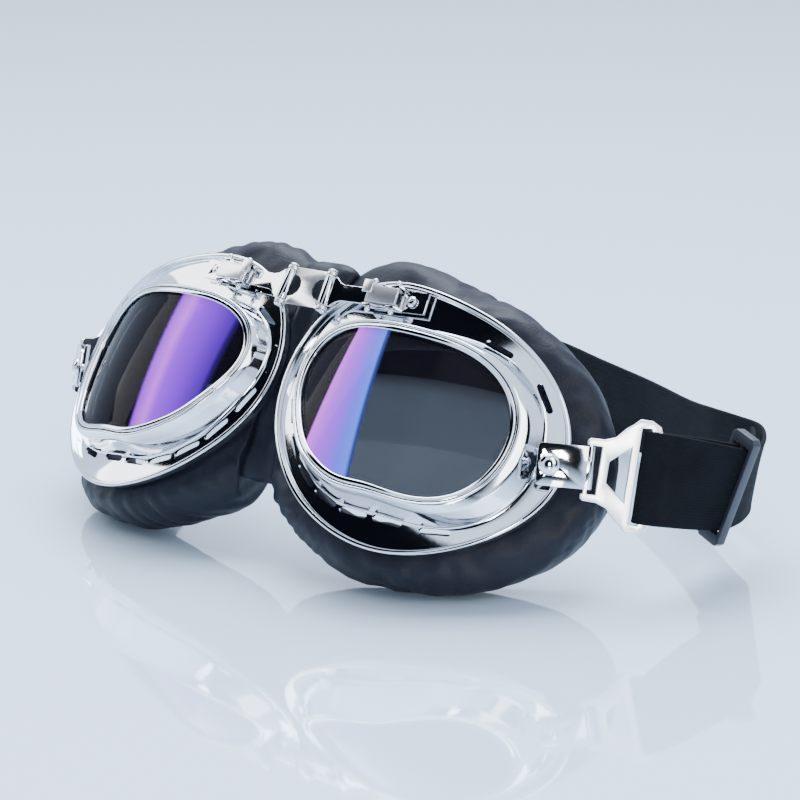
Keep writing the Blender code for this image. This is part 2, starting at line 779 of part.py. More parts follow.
def strap_tab():
    half = TAB_HEIGHT / 2
    thick = TAB_THICKNESS / 2
    outline = [(-TAB_INSIDE + 0.8, half), (-TAB_INSIDE, half - 0.8)]
    outline += [(-TAB_INSIDE, -half + 0.8), (-TAB_INSIDE + 0.8, -half)]
    outline += [(CURL_AT - 0.6, -half), (CURL_AT - 0.6, half)]
    strip = prism(outline, -thick, thick, lambda x, z, y: on_tab(x, y, z))
    tab = new_object("strap_tab", *strip, chrome())
    axis = (CURL_AT, thick - CURL_RADIUS)
    barrel = circle(CURL_RADIUS + 0.03, 12, axis)
    curl = prism(barrel, -half + 0.03, half - 0.03, lambda x, y, z: on_tab(x, y, z))
    combine(tab, new_object("tab_curl", *curl, chrome()), "UNION")
    bore = circle(BAR_RADIUS + BAR_CLEARANCE, 12, axis)
    bore = prism(bore, -half - 1, half + 1, lambda x, y, z: on_tab(x, y, z))
    combine(tab, new_object("curl_bore", *bore, chrome()), "DIFFERENCE")
    bore = circle(1.2 + GAP, 8, (-TAB_INSIDE + RIVET_FROM_END, 0))
    hole = prism(bore, -3, 3, lambda x, z, y: on_tab(x, y, z))
    combine(tab, new_object("rivet_hole", *hole, chrome()), "DIFFERENCE")
    both_sides(tab)


def tab_rivet():
    face = TAB_THICKNESS / 2 + GAP
    r = RIVET_RADIUS
    low = -TAB_THICKNESS / 2 - 1.0
    profile = [(0, low - 0.05), (1.2, low), (1.2, face), (r, face)]
    profile += [(0.85 * r, face + 0.9), (0.5 * r, face + 1.5), (0, face + 1.7)]
    at = -TAB_INSIDE + RIVET_FROM_END
    points, faces = turned(profile, 14, lambda x, z, y: on_tab(at + x, y, z))
    both_sides(new_object("tab_rivet", points, faces, chrome()))


def buckle_matrix(swing):
    """From the right buckle's own (along, behind, up) to the world. Its origin is the middle of its bar."""
    place = Matrix.Translation((CURL_AT, CURL_RADIUS - TAB_THICKNESS / 2, -BUCKLE_SLIDE))
    turn = Matrix.Rotation(swing, 4, "Z")
    return TAB @ place @ turn @ Matrix.Rotation(BUCKLE_DROP - TAB_DROP, 4, "Y")


def buckle_outline():
    """The upper half of the outline, from the bar to the wide end, mirrored to the lower half."""
    arm = TAB_HEIGHT / 2 + BUCKLE_SLIDE + GAP
    upper = [(-1.2, arm), (-1.2, arm + 1.4), (-0.4, arm + 2.0)]
    upper += [(3.5, arm + 2.1), (6.5, arm + 3.2), (9.0, arm + 6.0)]
    upper += [(11.0, BUCKLE_HALF - 1.6), (12.6, BUCKLE_HALF), (16.0, BUCKLE_HALF)]
    upper += [(BUCKLE_LENGTH - 0.6, BUCKLE_HALF - 1.4)]
    upper += [(BUCKLE_LENGTH, BUCKLE_HALF - 3.0)]
    return upper + [(x, -z) for x, z in reversed(upper)]


def strap_buckle(name, swing, side):
    """A flat triangular plate with a bar for the tab, a trapezoid hole and a slot for the strap."""
    matrix = buckle_matrix(swing)

    def to_world(x, z, y):
        spot = matrix @ Vector((x, -y, z))
        return Vector((side * spot.x, spot.y, spot.z))

    thick = BUCKLE_THICKNESS / 2
    arm = TAB_HEIGHT / 2 + BUCKLE_SLIDE + GAP
    bar_slot = [(BAR_RADIUS, arm), (3.0, arm), (3.0, -arm), (BAR_RADIUS, -arm)]
    open_side = [(-2.0, arm), (-BAR_RADIUS, arm), (-BAR_RADIUS, -arm), (-2.0, -arm)]
    trapezoid = [(5.6, 3.0), (11.2, 7.6), (11.2, -7.6), (5.6, -3.0)]
    slot_end = STRAP_WIDTH / 2 + 0.5
    slot = [(SLOT_START, slot_end), (SLOT_END, slot_end), (SLOT_END, -slot_end), (SLOT_START, -slot_end)]
    plate = prism(buckle_outline(), -thick, thick, to_world, [bar_slot, trapezoid, slot])
    buckle = new_object(name, *plate, chrome(), origin=to_world(0, 0, 0))
    notch = box((-2.0, -arm, -3), (-BAR_RADIUS, arm, 3), to_world)
    combine(buckle, new_object(name + "_notch", *notch, chrome()), "DIFFERENCE")
    return buckle


# Strap --------------------------------------------------------------------


def curve_through(points, count):
    """A smooth Catmull-Rom curve through a few points, as count points."""
    knots = [Vector(p) for p in points]
    knots = [2 * knots[0] - knots[1]] + knots + [2 * knots[-1] - knots[-2]]
    result = []
    spans = len(knots) - 3
    for i in range(count):
        place = spans * i / (count - 1)
        k = min(int(place), spans - 1)
        t = place - k
        a, b, c, d = knots[k : k + 4]
        result.append(
            0.5 * (2 * b + (c - a) * t + (2 * a - 5 * b + 4 * c - d) * t * t + (3 * b - a - 3 * c + d) * t**3)
        )
    return result


def ribbon(name, route, ups, finish):
    """A flat band on edge. route lists its centres, and ups the directions of its upper edge."""
    points = []
    loops = []
    for i, spot in enumerate(route):
        ahead = route[min(i + 1, len(route) - 1)] - route[max(i - 1, 0)]
        side = ahead.cross(ups[i]).normalized() * STRAP_THICKNESS / 2
        rise = ups[i] * STRAP_WIDTH / 2
        loops.append(range(len(points), len(points) + 4))
        points += [spot + side + rise, spot - side + rise, spot - side - rise, spot + side - rise]
    for point in points:
        point.z = max(point.z, 0.0)
    faces = loops_to_faces(loops, False, True)
    faces += [tuple(loops[0]), tuple(reversed(loops[-1]))]
    return new_object(name, points, faces, finish)


def on_buckle(swing, side):
    """World point of a buckle, as a function of (along, forwards, up)."""
    matrix = buckle_matrix(swing)

    def to_world(a, f, b):
        spot = matrix @ Vector((a, -f, b))
        return Vector((side * spot.x, spot.y, spot.z))

    return to_world


def strap_layer():
    """Distance from the middle of a buckle, or of the slider's bar, to the middle of the band."""
    return BUCKLE_THICKNESS / 2 + GAP + STRAP_THICKNESS / 2


def strap_wrap(swing, side):
    """Band centres round a buckle's outer bar, from its back through the slot to its front."""
    place = on_buckle(swing, side)
    apart = strap_layer()
    slot = (SLOT_START + SLOT_END) / 2
    path = [(BUCKLE_LENGTH + 1, -apart), (slot + 1.8, -apart), (slot + 0.3, -0.7 * apart), (slot, 0.0)]
    path += [(slot + 0.3, 0.7 * apart), (slot + 1.8, apart), (BUCKLE_LENGTH + 1, apart)]
    up = place(0, 0, 1) - place(0, 0, 0)
    return [place(a, f, 0) for a, f in path], [up] * len(path)


def leaning(lean):
    return Vector((lean[0], lean[1], 1.0)).normalized()


def slider_axes():
    """The slider's directions: out of the band's face, up the band and along it."""
    up = leaning(SLIDER_LEAN)
    along = Vector(STRAP_ROUTE[0][0]) - on_buckle(0.0, 1)(BUCKLE_LENGTH, 0, 0)
    along = (along - along.dot(up) * up).normalized()
    return along.cross(up), up, along


def inner_layer(route, ups):
    """The same band, moved inwards by the thickness of what the two layers pass round."""
    moved = []
    for i, spot in enumerate(route):
        ahead = route[min(i + 1, len(route) - 1)] - route[max(i - 1, 0)]
        moved.append(spot - ahead.cross(ups[i]).normalized() * 2 * strap_layer())
    return moved


def elastic_strap():
    """One band: doubled from the right buckle to past the slider, then single round the back to the left buckle."""
    webbing = material("webbing", (0.012, 0.013, 0.018), 0.8)
    right, right_ups = strap_wrap(0.0, 1)
    left, left_ups = strap_wrap(LEFT_BUCKLE_SWING, -1)
    outwards, slider_up, _ = slider_axes()
    at_slider = Vector(SLIDER_AT) + outwards * strap_layer()
    centres = [right[-1], at_slider] + [Vector(spot) for spot, _ in STRAP_ROUTE] + [left[-1]]
    leans = [right_ups[0], slider_up] + [leaning(lean) for _, lean in STRAP_ROUTE] + [left_ups[0]]
    run = curve_through(centres, STRAP_STEPS)
    run_ups = [up.normalized() for up in curve_through(leans, STRAP_STEPS)]
    tail = inner_layer(run, run_ups)[1:STRAP_TAIL]
    route = tail[::-1] + right[:-1] + run[:-1] + left[::-1]
    ups = run_ups[STRAP_TAIL - 1 : 0 : -1] + right_ups[:-1] + run_ups[:-1] + left_ups
    ribbon("elastic_strap", route, ups, webbing)


def strap_slider():
    """A plate across the band, with a slot for each layer."""
    outwards, up, along = slider_axes()

    def to_world(x, z, y):
        return Vector(SLIDER_AT) + outwards * x + up * z + along * y

    half = SLIDER_WIDTH / 2
    tall = SLIDER_HEIGHT / 2
    corner = 1.2
    outline = [(half, tall - corner), (half - corner, tall), (corner - half, tall), (-half, tall - corner)]
    outline += [(-half, corner - tall), (corner - half, -tall), (half - corner, -tall), (half, corner - tall)]
    window = STRAP_WIDTH / 2 + 0.7
    near = SLIDER_BAR / 2
    far = near + SLIDER_SLOT
    outer = [(far, window), (near, window), (near, -window), (far, -window)]
    inner = [(-x, z) for x, z in outer]
    deep = SLIDER_THICKNESS / 2
    plastic = material("slider_plastic", (0.05, 0.055, 0.065), 0.4)
    plate = prism(outline, -deep, deep, to_world, [outer, inner])
    new_object("strap_slider", *plate, plastic, origin=SLIDER_AT, smooth=False)


def main():
    clear_scene()
    eyecup_frame()
    both_sides(new_object("lens_bezel", *swept_ring(bezel_profile, SEGMENTS), chrome()))
    rubber = material("gasket_rubber", (0.02, 0.02, 0.02), 0.7)
    both_sides(new_object("lens_gasket", *swept_ring(gasket_profile, SEGMENTS), rubber))
    lens()
    face_cushion()
    nose_web()
    bridge_link()
    hinge_pin()
    hinge_tongue()
    bridge_base()
    ball_pin("guide_pin", GUIDE_PIN_AT, guide_pin_forward(), GUIDE_PIN_RADIUS)
    ball_pin("lever_pin", LEVER_PIN_AT, LEVER_PIN_FORWARD, LEVER_PIN_RADIUS)
    clamp_lever()
    bridge_screw()
    strap_tab()
    tab_rivet()
    strap_buckle("right_strap_buckle", 0.0, 1)
    strap_buckle("left_strap_buckle", LEFT_BUCKLE_SWING, -1)
    elastic_strap()
    strap_slider()


main()
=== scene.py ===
"""Motorcycle goggles: the looks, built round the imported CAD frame.

Lengths are in millimetres and multiplied by MM when they reach a mesh. +Z is up, and the lenses face -Y.
Right-hand pieces are modelled on the +X side, and the left-hand ones are their mirror images.
"""

import math

import bmesh
import bpy
import numpy as np
from mathutils import Matrix, Vector
from mathutils.bvhtree import BVHTree

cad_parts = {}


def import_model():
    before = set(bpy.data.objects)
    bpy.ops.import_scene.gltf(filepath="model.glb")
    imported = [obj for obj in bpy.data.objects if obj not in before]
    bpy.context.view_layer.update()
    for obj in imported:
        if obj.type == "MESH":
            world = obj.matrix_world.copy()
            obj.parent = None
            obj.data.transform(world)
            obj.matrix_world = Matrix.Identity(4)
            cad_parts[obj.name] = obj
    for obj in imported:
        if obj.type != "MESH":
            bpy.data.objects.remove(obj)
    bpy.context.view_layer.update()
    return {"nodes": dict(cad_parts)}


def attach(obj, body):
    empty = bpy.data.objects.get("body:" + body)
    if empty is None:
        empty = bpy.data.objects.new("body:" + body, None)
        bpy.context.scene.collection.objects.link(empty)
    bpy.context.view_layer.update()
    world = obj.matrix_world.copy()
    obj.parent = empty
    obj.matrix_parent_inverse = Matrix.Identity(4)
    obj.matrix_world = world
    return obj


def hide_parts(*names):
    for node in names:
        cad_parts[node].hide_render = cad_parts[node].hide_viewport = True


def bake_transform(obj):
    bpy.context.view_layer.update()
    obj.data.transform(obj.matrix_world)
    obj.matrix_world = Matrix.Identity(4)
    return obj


MM = 0.001
GAP = 0.3

# Where the eyecups stand, as in the CAD part
CUP_SPACING = 84.0
CUP_HEIGHT = 47.6
CUP_FORWARD = 79.2
LEAN = math.radians(36.8)
CUP_YAW = math.radians(9.3)
CUP_CANT = math.radians(7.1)
FLANGE_RADII = (52.4, 50.4, 43.6, 41.8, 45.2, 43.9, 39.2, 34.4, 33.0, 35.2, 39.8, 45.7)
LENS_RADII = (36.4, 36.5, 28.7, 24.7, 27.6, 32.3, 26.6, 21.9, 20.1, 20.1, 22.8, 31.8)
FLANGE_CURVE = 115.0
FLANGE_SLOPE = 0.03
LENS_CURVE = 50.0
LENS_CROWN = 172.0
LENS_FORWARD = 8.7
SHEET = 0.9
FLANGE_SINK = 1.6
BEAD = 1.6
RING_FOOT = 5.6
RING_FOOT_OUTER = 2.8
BEZEL_WIDTH = 1.7
LENS_THICKNESS = 1.8
GASKET = 1.2
SEAT_ANGLE = math.radians(112)
SEAT_SPREAD = math.radians(30)
SEAT_SINK = 1.5
SEAT_NARROWING = 1.2
VENT_LENGTH = 9.0
VENT_WIDTH = 1.9
VENT_ANGLES = (28, 52, 140, 162, 184, 206, 228, 250, 272, 294, 316)

# Cushions
CUSHION_DEPTH = 25.0
CUSHION_FLARE = 7.0
NOSE_CORNER_FLARE = 4.4
NOSE_CORNER_ANGLE = math.radians(118)
NOSE_CHEEK_FLARE = 3.0
NOSE_CHEEK_ANGLE = math.radians(212)
FLARE_SPREAD = math.radians(26)
NOSE_HALF_GAP = 4.6
NOSE_SPLAY = 0.16

# Bridge
PIN_SPACING = 15.3
PIN_BACK = 20.7
PIN_RISE = 28.1
BRIDGE_LIFT = 2.6
BRIDGE_LEAN = math.radians(34.9)
PIN_CANT = math.radians(3.1)
ARM_SWEEP = math.radians(2.4)
PIN_RADIUS = 0.75
PIN_HEIGHT = 12.6
PIN_HEAD_RADIUS = 1.5
CHANNEL_HEIGHT = 7.0
PLATE_DROP = 0.8
GUIDE_PIN_AT = 16.6
GUIDE_PIN_FORWARD = 1.25
GUIDE_PIN_RADIUS = 0.55
LEVER_PIN_AT = 24.8
LEVER_PIN_FORWARD = 1.2
LEVER_PIN_RADIUS = 0.6
BALL_RADIUS = 0.8
SCREW_AT = 29.6
SCREW_HEAD = 1.6

# Strap fittings
TAB_ANGLE = math.radians(6)
TAB_SWEEP = math.radians(42)
TAB_DROP = math.radians(8)
TAB_LEAN = math.radians(12)
TAB_STANDOFF = 2.6
TAB_INSIDE = 8.4
TAB_OUTSIDE = 4.6
TAB_THICKNESS = 0.8
CURL_RADIUS = 1.6
RIVET_RADIUS = 3.0
RIVET_FROM_END = 3.4
BUCKLE_DROP = math.radians(10.5)
BUCKLE_SLIDE = 0.5
BUCKLE_LENGTH = 19.2
BUCKLE_THICKNESS = 1.2
SLOT_START = 13.4
SLOT_END = 16.0
LEFT_BUCKLE_SWING = math.radians(45)

# Strap
STRAP_WIDTH = 26.0
STRAP_THICKNESS = 1.3
SLIDER_AT = (121.2, -21.6, 27.2)
SLIDER_LEAN = (0.31, 0.12)
STRAP_CONTROLS = 60  # steps of the CAD strap
STRAP_TAIL = 13
STRAP_FINE = 6  # steps here for each of those
STRAP_ROUTE = (
    ((121.9, -15.0, 25.4), (0.30, 0.12)),
    ((119.8, -5.5, 25.2), (0.20, 0.14)),
    ((113.5, 5.8, 25.0), (0.08, 0.08)),
    ((101.5, 14.0, 23.7), (0.03, 0.04)),
    ((88.0, 23.5, 21.6), (0, 0)),
    ((72.0, 36.5, 18.4), (0, 0)),
    ((44.0, 58.0, 15.2), (0, 0)),
    ((13.0, 76.5, 13.4), (0, 0)),
    ((-11.0, 89.0, 13.0), (0, 0)),
    ((-34.0, 96.2, 13.0), (0, 0)),
    ((-60.0, 99.2, 13.0), (0, 0)),
    ((-86.0, 97.0, 13.0), (0, 0)),
    ((-112.0, 86.0, 13.0), (0, 0)),
    ((-127.0, 64.0, 13.6), (0, 0)),
    ((-129.4, 38.0, 17.0), (0, 0)),
    ((-118.0, 12.0, 23.0), (0, 0)),
)

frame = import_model()


# Placing ------------------------------------------------------------------


def cup_matrix():
    place = Matrix.Translation((CUP_SPACING / 2, -CUP_FORWARD, CUP_HEIGHT))
    turn = Matrix.Rotation(CUP_YAW, 4, "Z") @ Matrix.Rotation(-LEAN, 4, "X")
    return place @ turn @ Matrix.Rotation(CUP_CANT, 4, "Y")


CUP = cup_matrix()


def on_cup(u, v, w):
    """World point of the right eyecup: u outwards, v up and w forwards."""
    return CUP @ Vector((u, -w, v))


def arm_matrix():
    place = Matrix.Translation((PIN_SPACING / 2, PIN_BACK - CUP_FORWARD, PIN_RISE + CUP_HEIGHT))
    turn = Matrix.Rotation(-BRIDGE_LEAN, 4, "X") @ Matrix.Translation((0, -BRIDGE_LIFT, 0))
    return place @ turn @ Matrix.Rotation(-PIN_CANT, 4, "Y") @ Matrix.Rotation(ARM_SWEEP, 4, "Z")


ARM = arm_matrix()


def on_arm(o, f, h):
    """World point of the right bridge arm: o outwards, f forwards and h up along the pin."""
    return ARM @ Vector((o, -f, h))


def smooth_radius(radii):
    waves = np.fft.rfft(radii) / len(radii)

    def radius(angle):
        total = waves[0].real
        for k, wave in enumerate(waves[1:], start=1):
            share = 1 if 2 * k == len(radii) else 2
            total += share * (wave * complex(math.cos(k * angle), math.sin(k * angle))).real
        return total

    return radius


flange_radius = smooth_radius(FLANGE_RADII)
lens_radius = smooth_radius(LENS_RADII)


def flange_height(u, v):
    return FLANGE_SLOPE * (v - u) - u * u / (2 * FLANGE_CURVE)


def lens_height(u, v):
    return LENS_FORWARD - u * u / (2 * LENS_CURVE) - v * v / (2 * LENS_CROWN)


def bump(angle, centre, spread):
    away = math.remainder(angle - centre, 2 * math.pi)
    return math.exp(-((away / spread) ** 2))


def ring_foot(angle):
    narrowing = SEAT_NARROWING * bump(angle, SEAT_ANGLE, SEAT_SPREAD)
    return RING_FOOT + RING_FOOT_OUTER * max(0.0, math.cos(angle)) ** 2 - narrowing


def heights(angle):
    """The lens outline's radius and height, and a function from radius to the sunk flange's height."""
    radius = lens_radius(angle)
    edge = lens_height(radius * math.cos(angle), radius * math.sin(angle))
    sink = FLANGE_SINK + SEAT_SINK * bump(angle, SEAT_ANGLE, SEAT_SPREAD)

    def flange(r):
        return flange_height(r * math.cos(angle), r * math.sin(angle)) - sink

    return radius, edge, flange


# Materials ----------------------------------------------------------------

CORD_PITCH = 0.9  # from cord to cord across the webbing
WEFT_PITCH = 0.62
BAND_TOP = 25.0
BAND_BOTTOM = -20.0
# how strongly the lenses' painted reflection band glows, though it is no lamp
PAINTED_REFLECTION_GLOW = 1.5


class Nodes:
    """A material's node tree, with short ways to add nodes."""

    def __init__(self, name):
        self.material = bpy.data.materials.new(name)
        self.material.use_nodes = True
        self.tree = self.material.node_tree
        self.shader = self.tree.nodes["Principled BSDF"]

    def add(self, kind, **values):
        node = self.tree.nodes.new(kind)
        for key, value in values.items():
            if hasattr(node, key):
                setattr(node, key, value)
            else:
                node.inputs[key.replace("_", " ")].default_value = value
        return node

    def link(self, source, target):
        self.tree.links.new(source, target)

    def feed(self, name, source):
        """Links a node's output to one of the shader's sockets."""
        self.link(source, self.shader.inputs[name])

    def set(self, **values):
        for key, value in values.items():
            self.shader.inputs[key.replace("_", " ")].default_value = value

    def math(self, operation, a, b=None):
        node = self.tree.nodes.new("ShaderNodeMath")
        node.operation = operation
        for socket, value in zip(node.inputs, (a, b)):
            if value is None:
                continue
            if isinstance(value, (int, float)):
                socket.default_value = value
            else:
                self.link(value, socket)
        return node.outputs[0]

    def ramp(self, source, stops):
        node = self.tree.nodes.new("ShaderNodeValToRGB")
        steps = node.color_ramp.elements
        while len(steps) < len(stops):
            steps.new(0.5)
        for step, (place, colour) in zip(steps, stops):
            step.position = place
            step.color = (*colour, 1.0)
        self.link(source, node.inputs[0])
        return node.outputs[0]

    def bump_from(self, height, strength, distance):
        node = self.add("ShaderNodeBump", Strength=strength, Distance=distance)
        self.link(height, node.inputs["Height"])
        self.feed("Normal", node.outputs[0])

    def place(self, kind="Object"):
        return self.add("ShaderNodeTexCoord").outputs[kind]

    def noise(self, scale, detail, roughness):
        node = self.add("ShaderNodeTexNoise", Scale=scale, Detail=detail, Roughness=roughness)
        self.link(self.place(), node.inputs["Vector"])
        return node.outputs[0]


def chrome_material(name, roughness, colour):
    made = Nodes(name)
    made.set(Metallic=1.0, Base_Color=(*colour, 1.0))
    smudges = made.noise(60.0, 5.0, 0.6)
    fine = made.noise(900.0, 3.0, 0.6)
    spread = made.math("MULTIPLY", smudges, 0.05)
    speck = made.math("MULTIPLY", fine, 0.03)
    made.feed("Roughness", made.math("ADD", made.math("ADD", spread, speck), roughness - 0.02))
    made.feed("Base Color", made.ramp(smudges, ((0.3, tuple(0.94 * c for c in colour)), (0.7, colour))))
    made.bump_from(fine, 0.04, 0.0001)
    return made.material


def leatherette_material():
    made = Nodes("charcoal_leatherette")
    broad = made.noise(35.0, 4.0, 0.55)
    grain = made.add("ShaderNodeTexVoronoi", Scale=1150.0, Randomness=1.0)
    made.link(made.place(), grain.inputs["Vector"])
    pore_stops = ((0.0, (1, 1, 1)), (0.55, (0.45, 0.45, 0.45)), (0.9, (0, 0, 0)))
    pores = made.ramp(grain.outputs["Distance"], pore_stops)
    made.feed("Base Color", made.ramp(broad, ((0.3, (0.006, 0.007, 0.012)), (0.7, (0.012, 0.013, 0.022)))))
    made.feed("Roughness", made.math("ADD", made.math("MULTIPLY", broad, 0.16), 0.42))
    crinkle = made.noise(420.0, 6.0, 0.65)
    height = made.math("ADD", made.math("MULTIPLY", pores, 0.5), made.math("MULTIPLY", crinkle, 0.9))
    made.bump_from(height, 0.35, 0.00025)
    made.set(Specular_IOR_Level=0.2)
    return made.material


def webbing_material():
    """Woven elastic: fine cords along the band and close weft rows across it."""
    made = Nodes("black_webbing")
    split = made.add("ShaderNodeSeparateXYZ")
    made.link(made.place("UV"), split.inputs[0])
    cords = made.math("SINE", made.math("MULTIPLY", split.outputs[0], 2 * math.pi / CORD_PITCH))
    rows = made.math("SINE", made.math("MULTIPLY", split.outputs[1], 2 * math.pi / WEFT_PITCH))
    weave = made.math("MULTIPLY", cords, rows)
    height = made.math("ADD", made.math("MULTIPLY", weave, 0.5), made.math("MULTIPLY", cords, 0.4))
    fluff = made.noise(2600.0, 3.0, 0.7)
    height = made.math("ADD", height, made.math("MULTIPLY", fluff, 0.8))
    made.bump_from(height, 0.5, 0.00016)
    worn = made.noise(90.0, 4.0, 0.6)
    made.feed("Base Color", made.ramp(worn, ((0.3, (0.003, 0.003, 0.005)), (0.75, (0.006, 0.007, 0.010)))))
    made.set(Roughness=0.8, Specular_IOR_Level=0.1)
    return made.material


def plastic_material():
    made = Nodes("slider_plastic")
    fine = made.noise(1500.0, 4.0, 0.6)
    broad = made.noise(80.0, 3.0, 0.5)
    made.feed("Base Color", made.ramp(broad, ((0.3, (0.018, 0.020, 0.027)), (0.7, (0.028, 0.031, 0.040)))))
    made.feed("Roughness", made.math("ADD", made.math("MULTIPLY", fine, 0.12), 0.28))
    made.bump_from(fine, 0.12, 0.0001)
    return made.material


def rubber_material():
    made = Nodes("gasket_rubber")
    fine = made.noise(1200.0, 4.0, 0.6)
    made.feed("Base Color", made.ramp(fine, ((0.3, (0.012, 0.012, 0.013)), (0.7, (0.024, 0.024, 0.026)))))
    made.feed("Roughness", made.math("ADD", made.math("MULTIPLY", fine, 0.2), 0.6))
    made.bump_from(fine, 0.2, 0.0001)
    return made.material


def lens_material(name, top_edges, bottom_edges, stops):
    """Smoke tint with one slanting violet band of painted reflection, standing in for a strip light seen in
    the mirror coating. The band also glows, though it is no lamp, so that its colour holds.

    Its two edges are given across the lens, at the heights BAND_TOP and BAND_BOTTOM.
    """
    made = Nodes(name)
    split = made.add("ShaderNodeSeparateXYZ")
    made.link(made.place("UV"), split.inputs[0])
    u, v = split.outputs[0], split.outputs[1]
    share = made.math("DIVIDE", made.math("SUBTRACT", BAND_TOP, v), BAND_TOP - BAND_BOTTOM)
    low = made.math("ADD", made.math("MULTIPLY", share, bottom_edges[0] - top_edges[0]), top_edges[0])
    high = made.math("ADD", made.math("MULTIPLY", share, bottom_edges[1] - top_edges[1]), top_edges[1])
    across = made.math("DIVIDE", made.math("SUBTRACT", u, low), made.math("SUBTRACT", high, low))
    scaled = made.math("ADD", made.math("MULTIPLY", across, 0.5), 0.25)
    # The band is a painted reflection of a strip light: a mask across the lens and the band's colours.
    reflection_band_mask = made.ramp(scaled, ((0.235, (0, 0, 0)), (0.262, (1, 1, 1)), (0.73, (1, 1, 1)), (0.765, (0, 0, 0))))
    band = made.ramp(scaled, stops)
    haze = made.noise(25.0, 3.0, 0.5)
    tint = made.ramp(haze, ((0.35, (0.004, 0.004, 0.006)), (0.65, (0.007, 0.006, 0.009))))
    mixed = made.add("ShaderNodeMix", data_type="RGBA")
    made.link(reflection_band_mask, mixed.inputs[0])
    made.link(tint, mixed.inputs[6])
    deep = made.add("ShaderNodeVectorMath", operation="SCALE")
    made.link(band, deep.inputs[0])
    deep.inputs["Scale"].default_value = 0.16
    made.link(deep.outputs[0], mixed.inputs[7])
    made.feed("Base Color", mixed.outputs[2])
    made.feed("Alpha", made.math("ADD", made.math("MULTIPLY", reflection_band_mask, 0.23), 0.77))
    # The painted reflection also glows, though it is no lamp.
    made.feed("Emission Color", band)
    made.feed("Emission Strength", made.math("MULTIPLY", reflection_band_mask, PAINTED_REFLECTION_GLOW))
    made.set(Roughness=0.03, Specular_IOR_Level=0.12, IOR=1.3)
    return made.material


CHROME = chrome_material("chrome_plate", 0.05, (0.80, 0.82, 0.86))
STEEL = chrome_material("polished_steel", 0.28, (0.95, 0.95, 0.96))
LEATHERETTE = leatherette_material()
WEBBING = webbing_material()
PLASTIC = plastic_material()
RUBBER = rubber_material()
# Colours of the painted reflection band on the right lens and on the left one, from one edge across to the
# other
PAINTED_REFLECTION_STOPS_RIGHT = (
    (0.25, (0.72, 0.10, 0.98)),
    (0.38, (0.46, 0.06, 0.98)),
    (0.54, (0.26, 0.07, 0.98)),
    (0.64, (0.12, 0.12, 0.98)),
    (0.74, (0.10, 0.20, 0.95)),
)
PAINTED_REFLECTION_STOPS_LEFT = (
    (0.25, (0.06, 0.008, 0.34)),
    (0.40, (0.17, 0.015, 0.66)),
    (0.56, (0.30, 0.025, 0.90)),
    (0.63, (0.62, 0.10, 0.98)),
    (0.74, (0.30, 0.03, 0.86)),
)
LENS_RIGHT = lens_material("smoke_lens_right", (-16.6, -6.2), (-17.8, 0.2), PAINTED_REFLECTION_STOPS_RIGHT)
LENS_LEFT = lens_material("smoke_lens_left", (-24.0, -2.6), (-21.5, -2.6), PAINTED_REFLECTION_STOPS_LEFT)


# Meshes -------------------------------------------------------------------


def new_object(name, points, faces, finish, sharp=35.0):
    mesh = bpy.data.meshes.new(name)
    mesh.from_pydata([Vector(p) * MM for p in points], [], faces)
    shape = bmesh.new()
    shape.from_mesh(mesh)
    bmesh.ops.recalc_face_normals(shape, faces=shape.faces)
    if shape.calc_volume(signed=True) < 0:
        bmesh.ops.reverse_faces(shape, faces=shape.faces)
    shape.to_mesh(mesh)
    shape.free()
    mesh.shade_smooth()
    if sharp:
        mesh.set_sharp_from_angle(angle=math.radians(sharp))
    obj = bpy.data.objects.new(name, mesh)
    bpy.context.collection.objects.link(obj)
    mesh.materials.append(finish)
    return obj


def flatten(obj):
    """Applies the object's modifiers."""
    graph = bpy.context.evaluated_depsgraph_get()
    mesh = bpy.data.meshes.new_from_object(obj.evaluated_get(graph))
    obj.modifiers.clear()
    old = obj.data
    obj.data = mesh
    bpy.data.meshes.remove(old)


def mirror_of(obj, name):
    mesh = obj.data.copy()
    mesh.transform(Matrix.Diagonal((-1, 1, 1, 1)))
    mesh.flip_normals()
    copy = bpy.data.objects.new(name, mesh)
    bpy.context.collection.objects.link(copy)
    return copy


def finish_pair(obj, node, right_body="right_eyecup", left_body="left_eyecup"):
    """Hangs a right piece and its mirror on their bodies, in place of the CAD nodes."""
    obj.name = "right_" + node + "_look"
    other = mirror_of(obj, "left_" + node + "_look")
    for piece, side, body in ((obj, "right_", right_body), (other, "left_", left_body)):
        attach(piece, body)
        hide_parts(side + node)
    return obj, other


def loops_to_faces(loops, closed=False):
    """Faces between neighbouring rings of points, and from the last ring to the first if closed."""
    faces = []
    width = len(loops[0])
    for i in range(len(loops) if closed else len(loops) - 1):
        a, b = loops[i], loops[(i + 1) % len(loops)]
        for j in range(width):
            faces.append((a[j], b[j], b[(j + 1) % width], a[(j + 1) % width]))
    return faces


def swept_ring(profile, segments):
    points = []
    loops = []
    for i in range(segments):
        angle = 2 * math.pi * i / segments
        section = profile(angle)
        loops.append(range(len(points), len(points) + len(section)))
        points += [on_cup(r * math.cos(angle), r * math.sin(angle), w) for r, w in section]
    return points, loops_to_faces(loops, closed=True)


def circle(radius, count):
    angles = [2 * math.pi * i / count for i in range(count)]
    return [(radius * math.cos(a), radius * math.sin(a)) for a in angles]


def turned(profile, count, to_world):
    """A solid of revolution. The profile's points are radius and level, and its ends lie on the axis."""
    points = [to_world(0, 0, profile[0][1]), to_world(0, 0, profile[-1][1])]
    loops = []
    for radius, level in profile[1:-1]:
        loops.append(list(range(len(points), len(points) + count)))
        points += [to_world(x, y, level) for x, y in circle(radius, count)]
    faces = loops_to_faces(loops)
    faces += [(0, loops[0][(j + 1) % count], loops[0][j]) for j in range(count)]
    faces += [(1, loops[-1][j], loops[-1][(j + 1) % count]) for j in range(count)]
    return points, faces


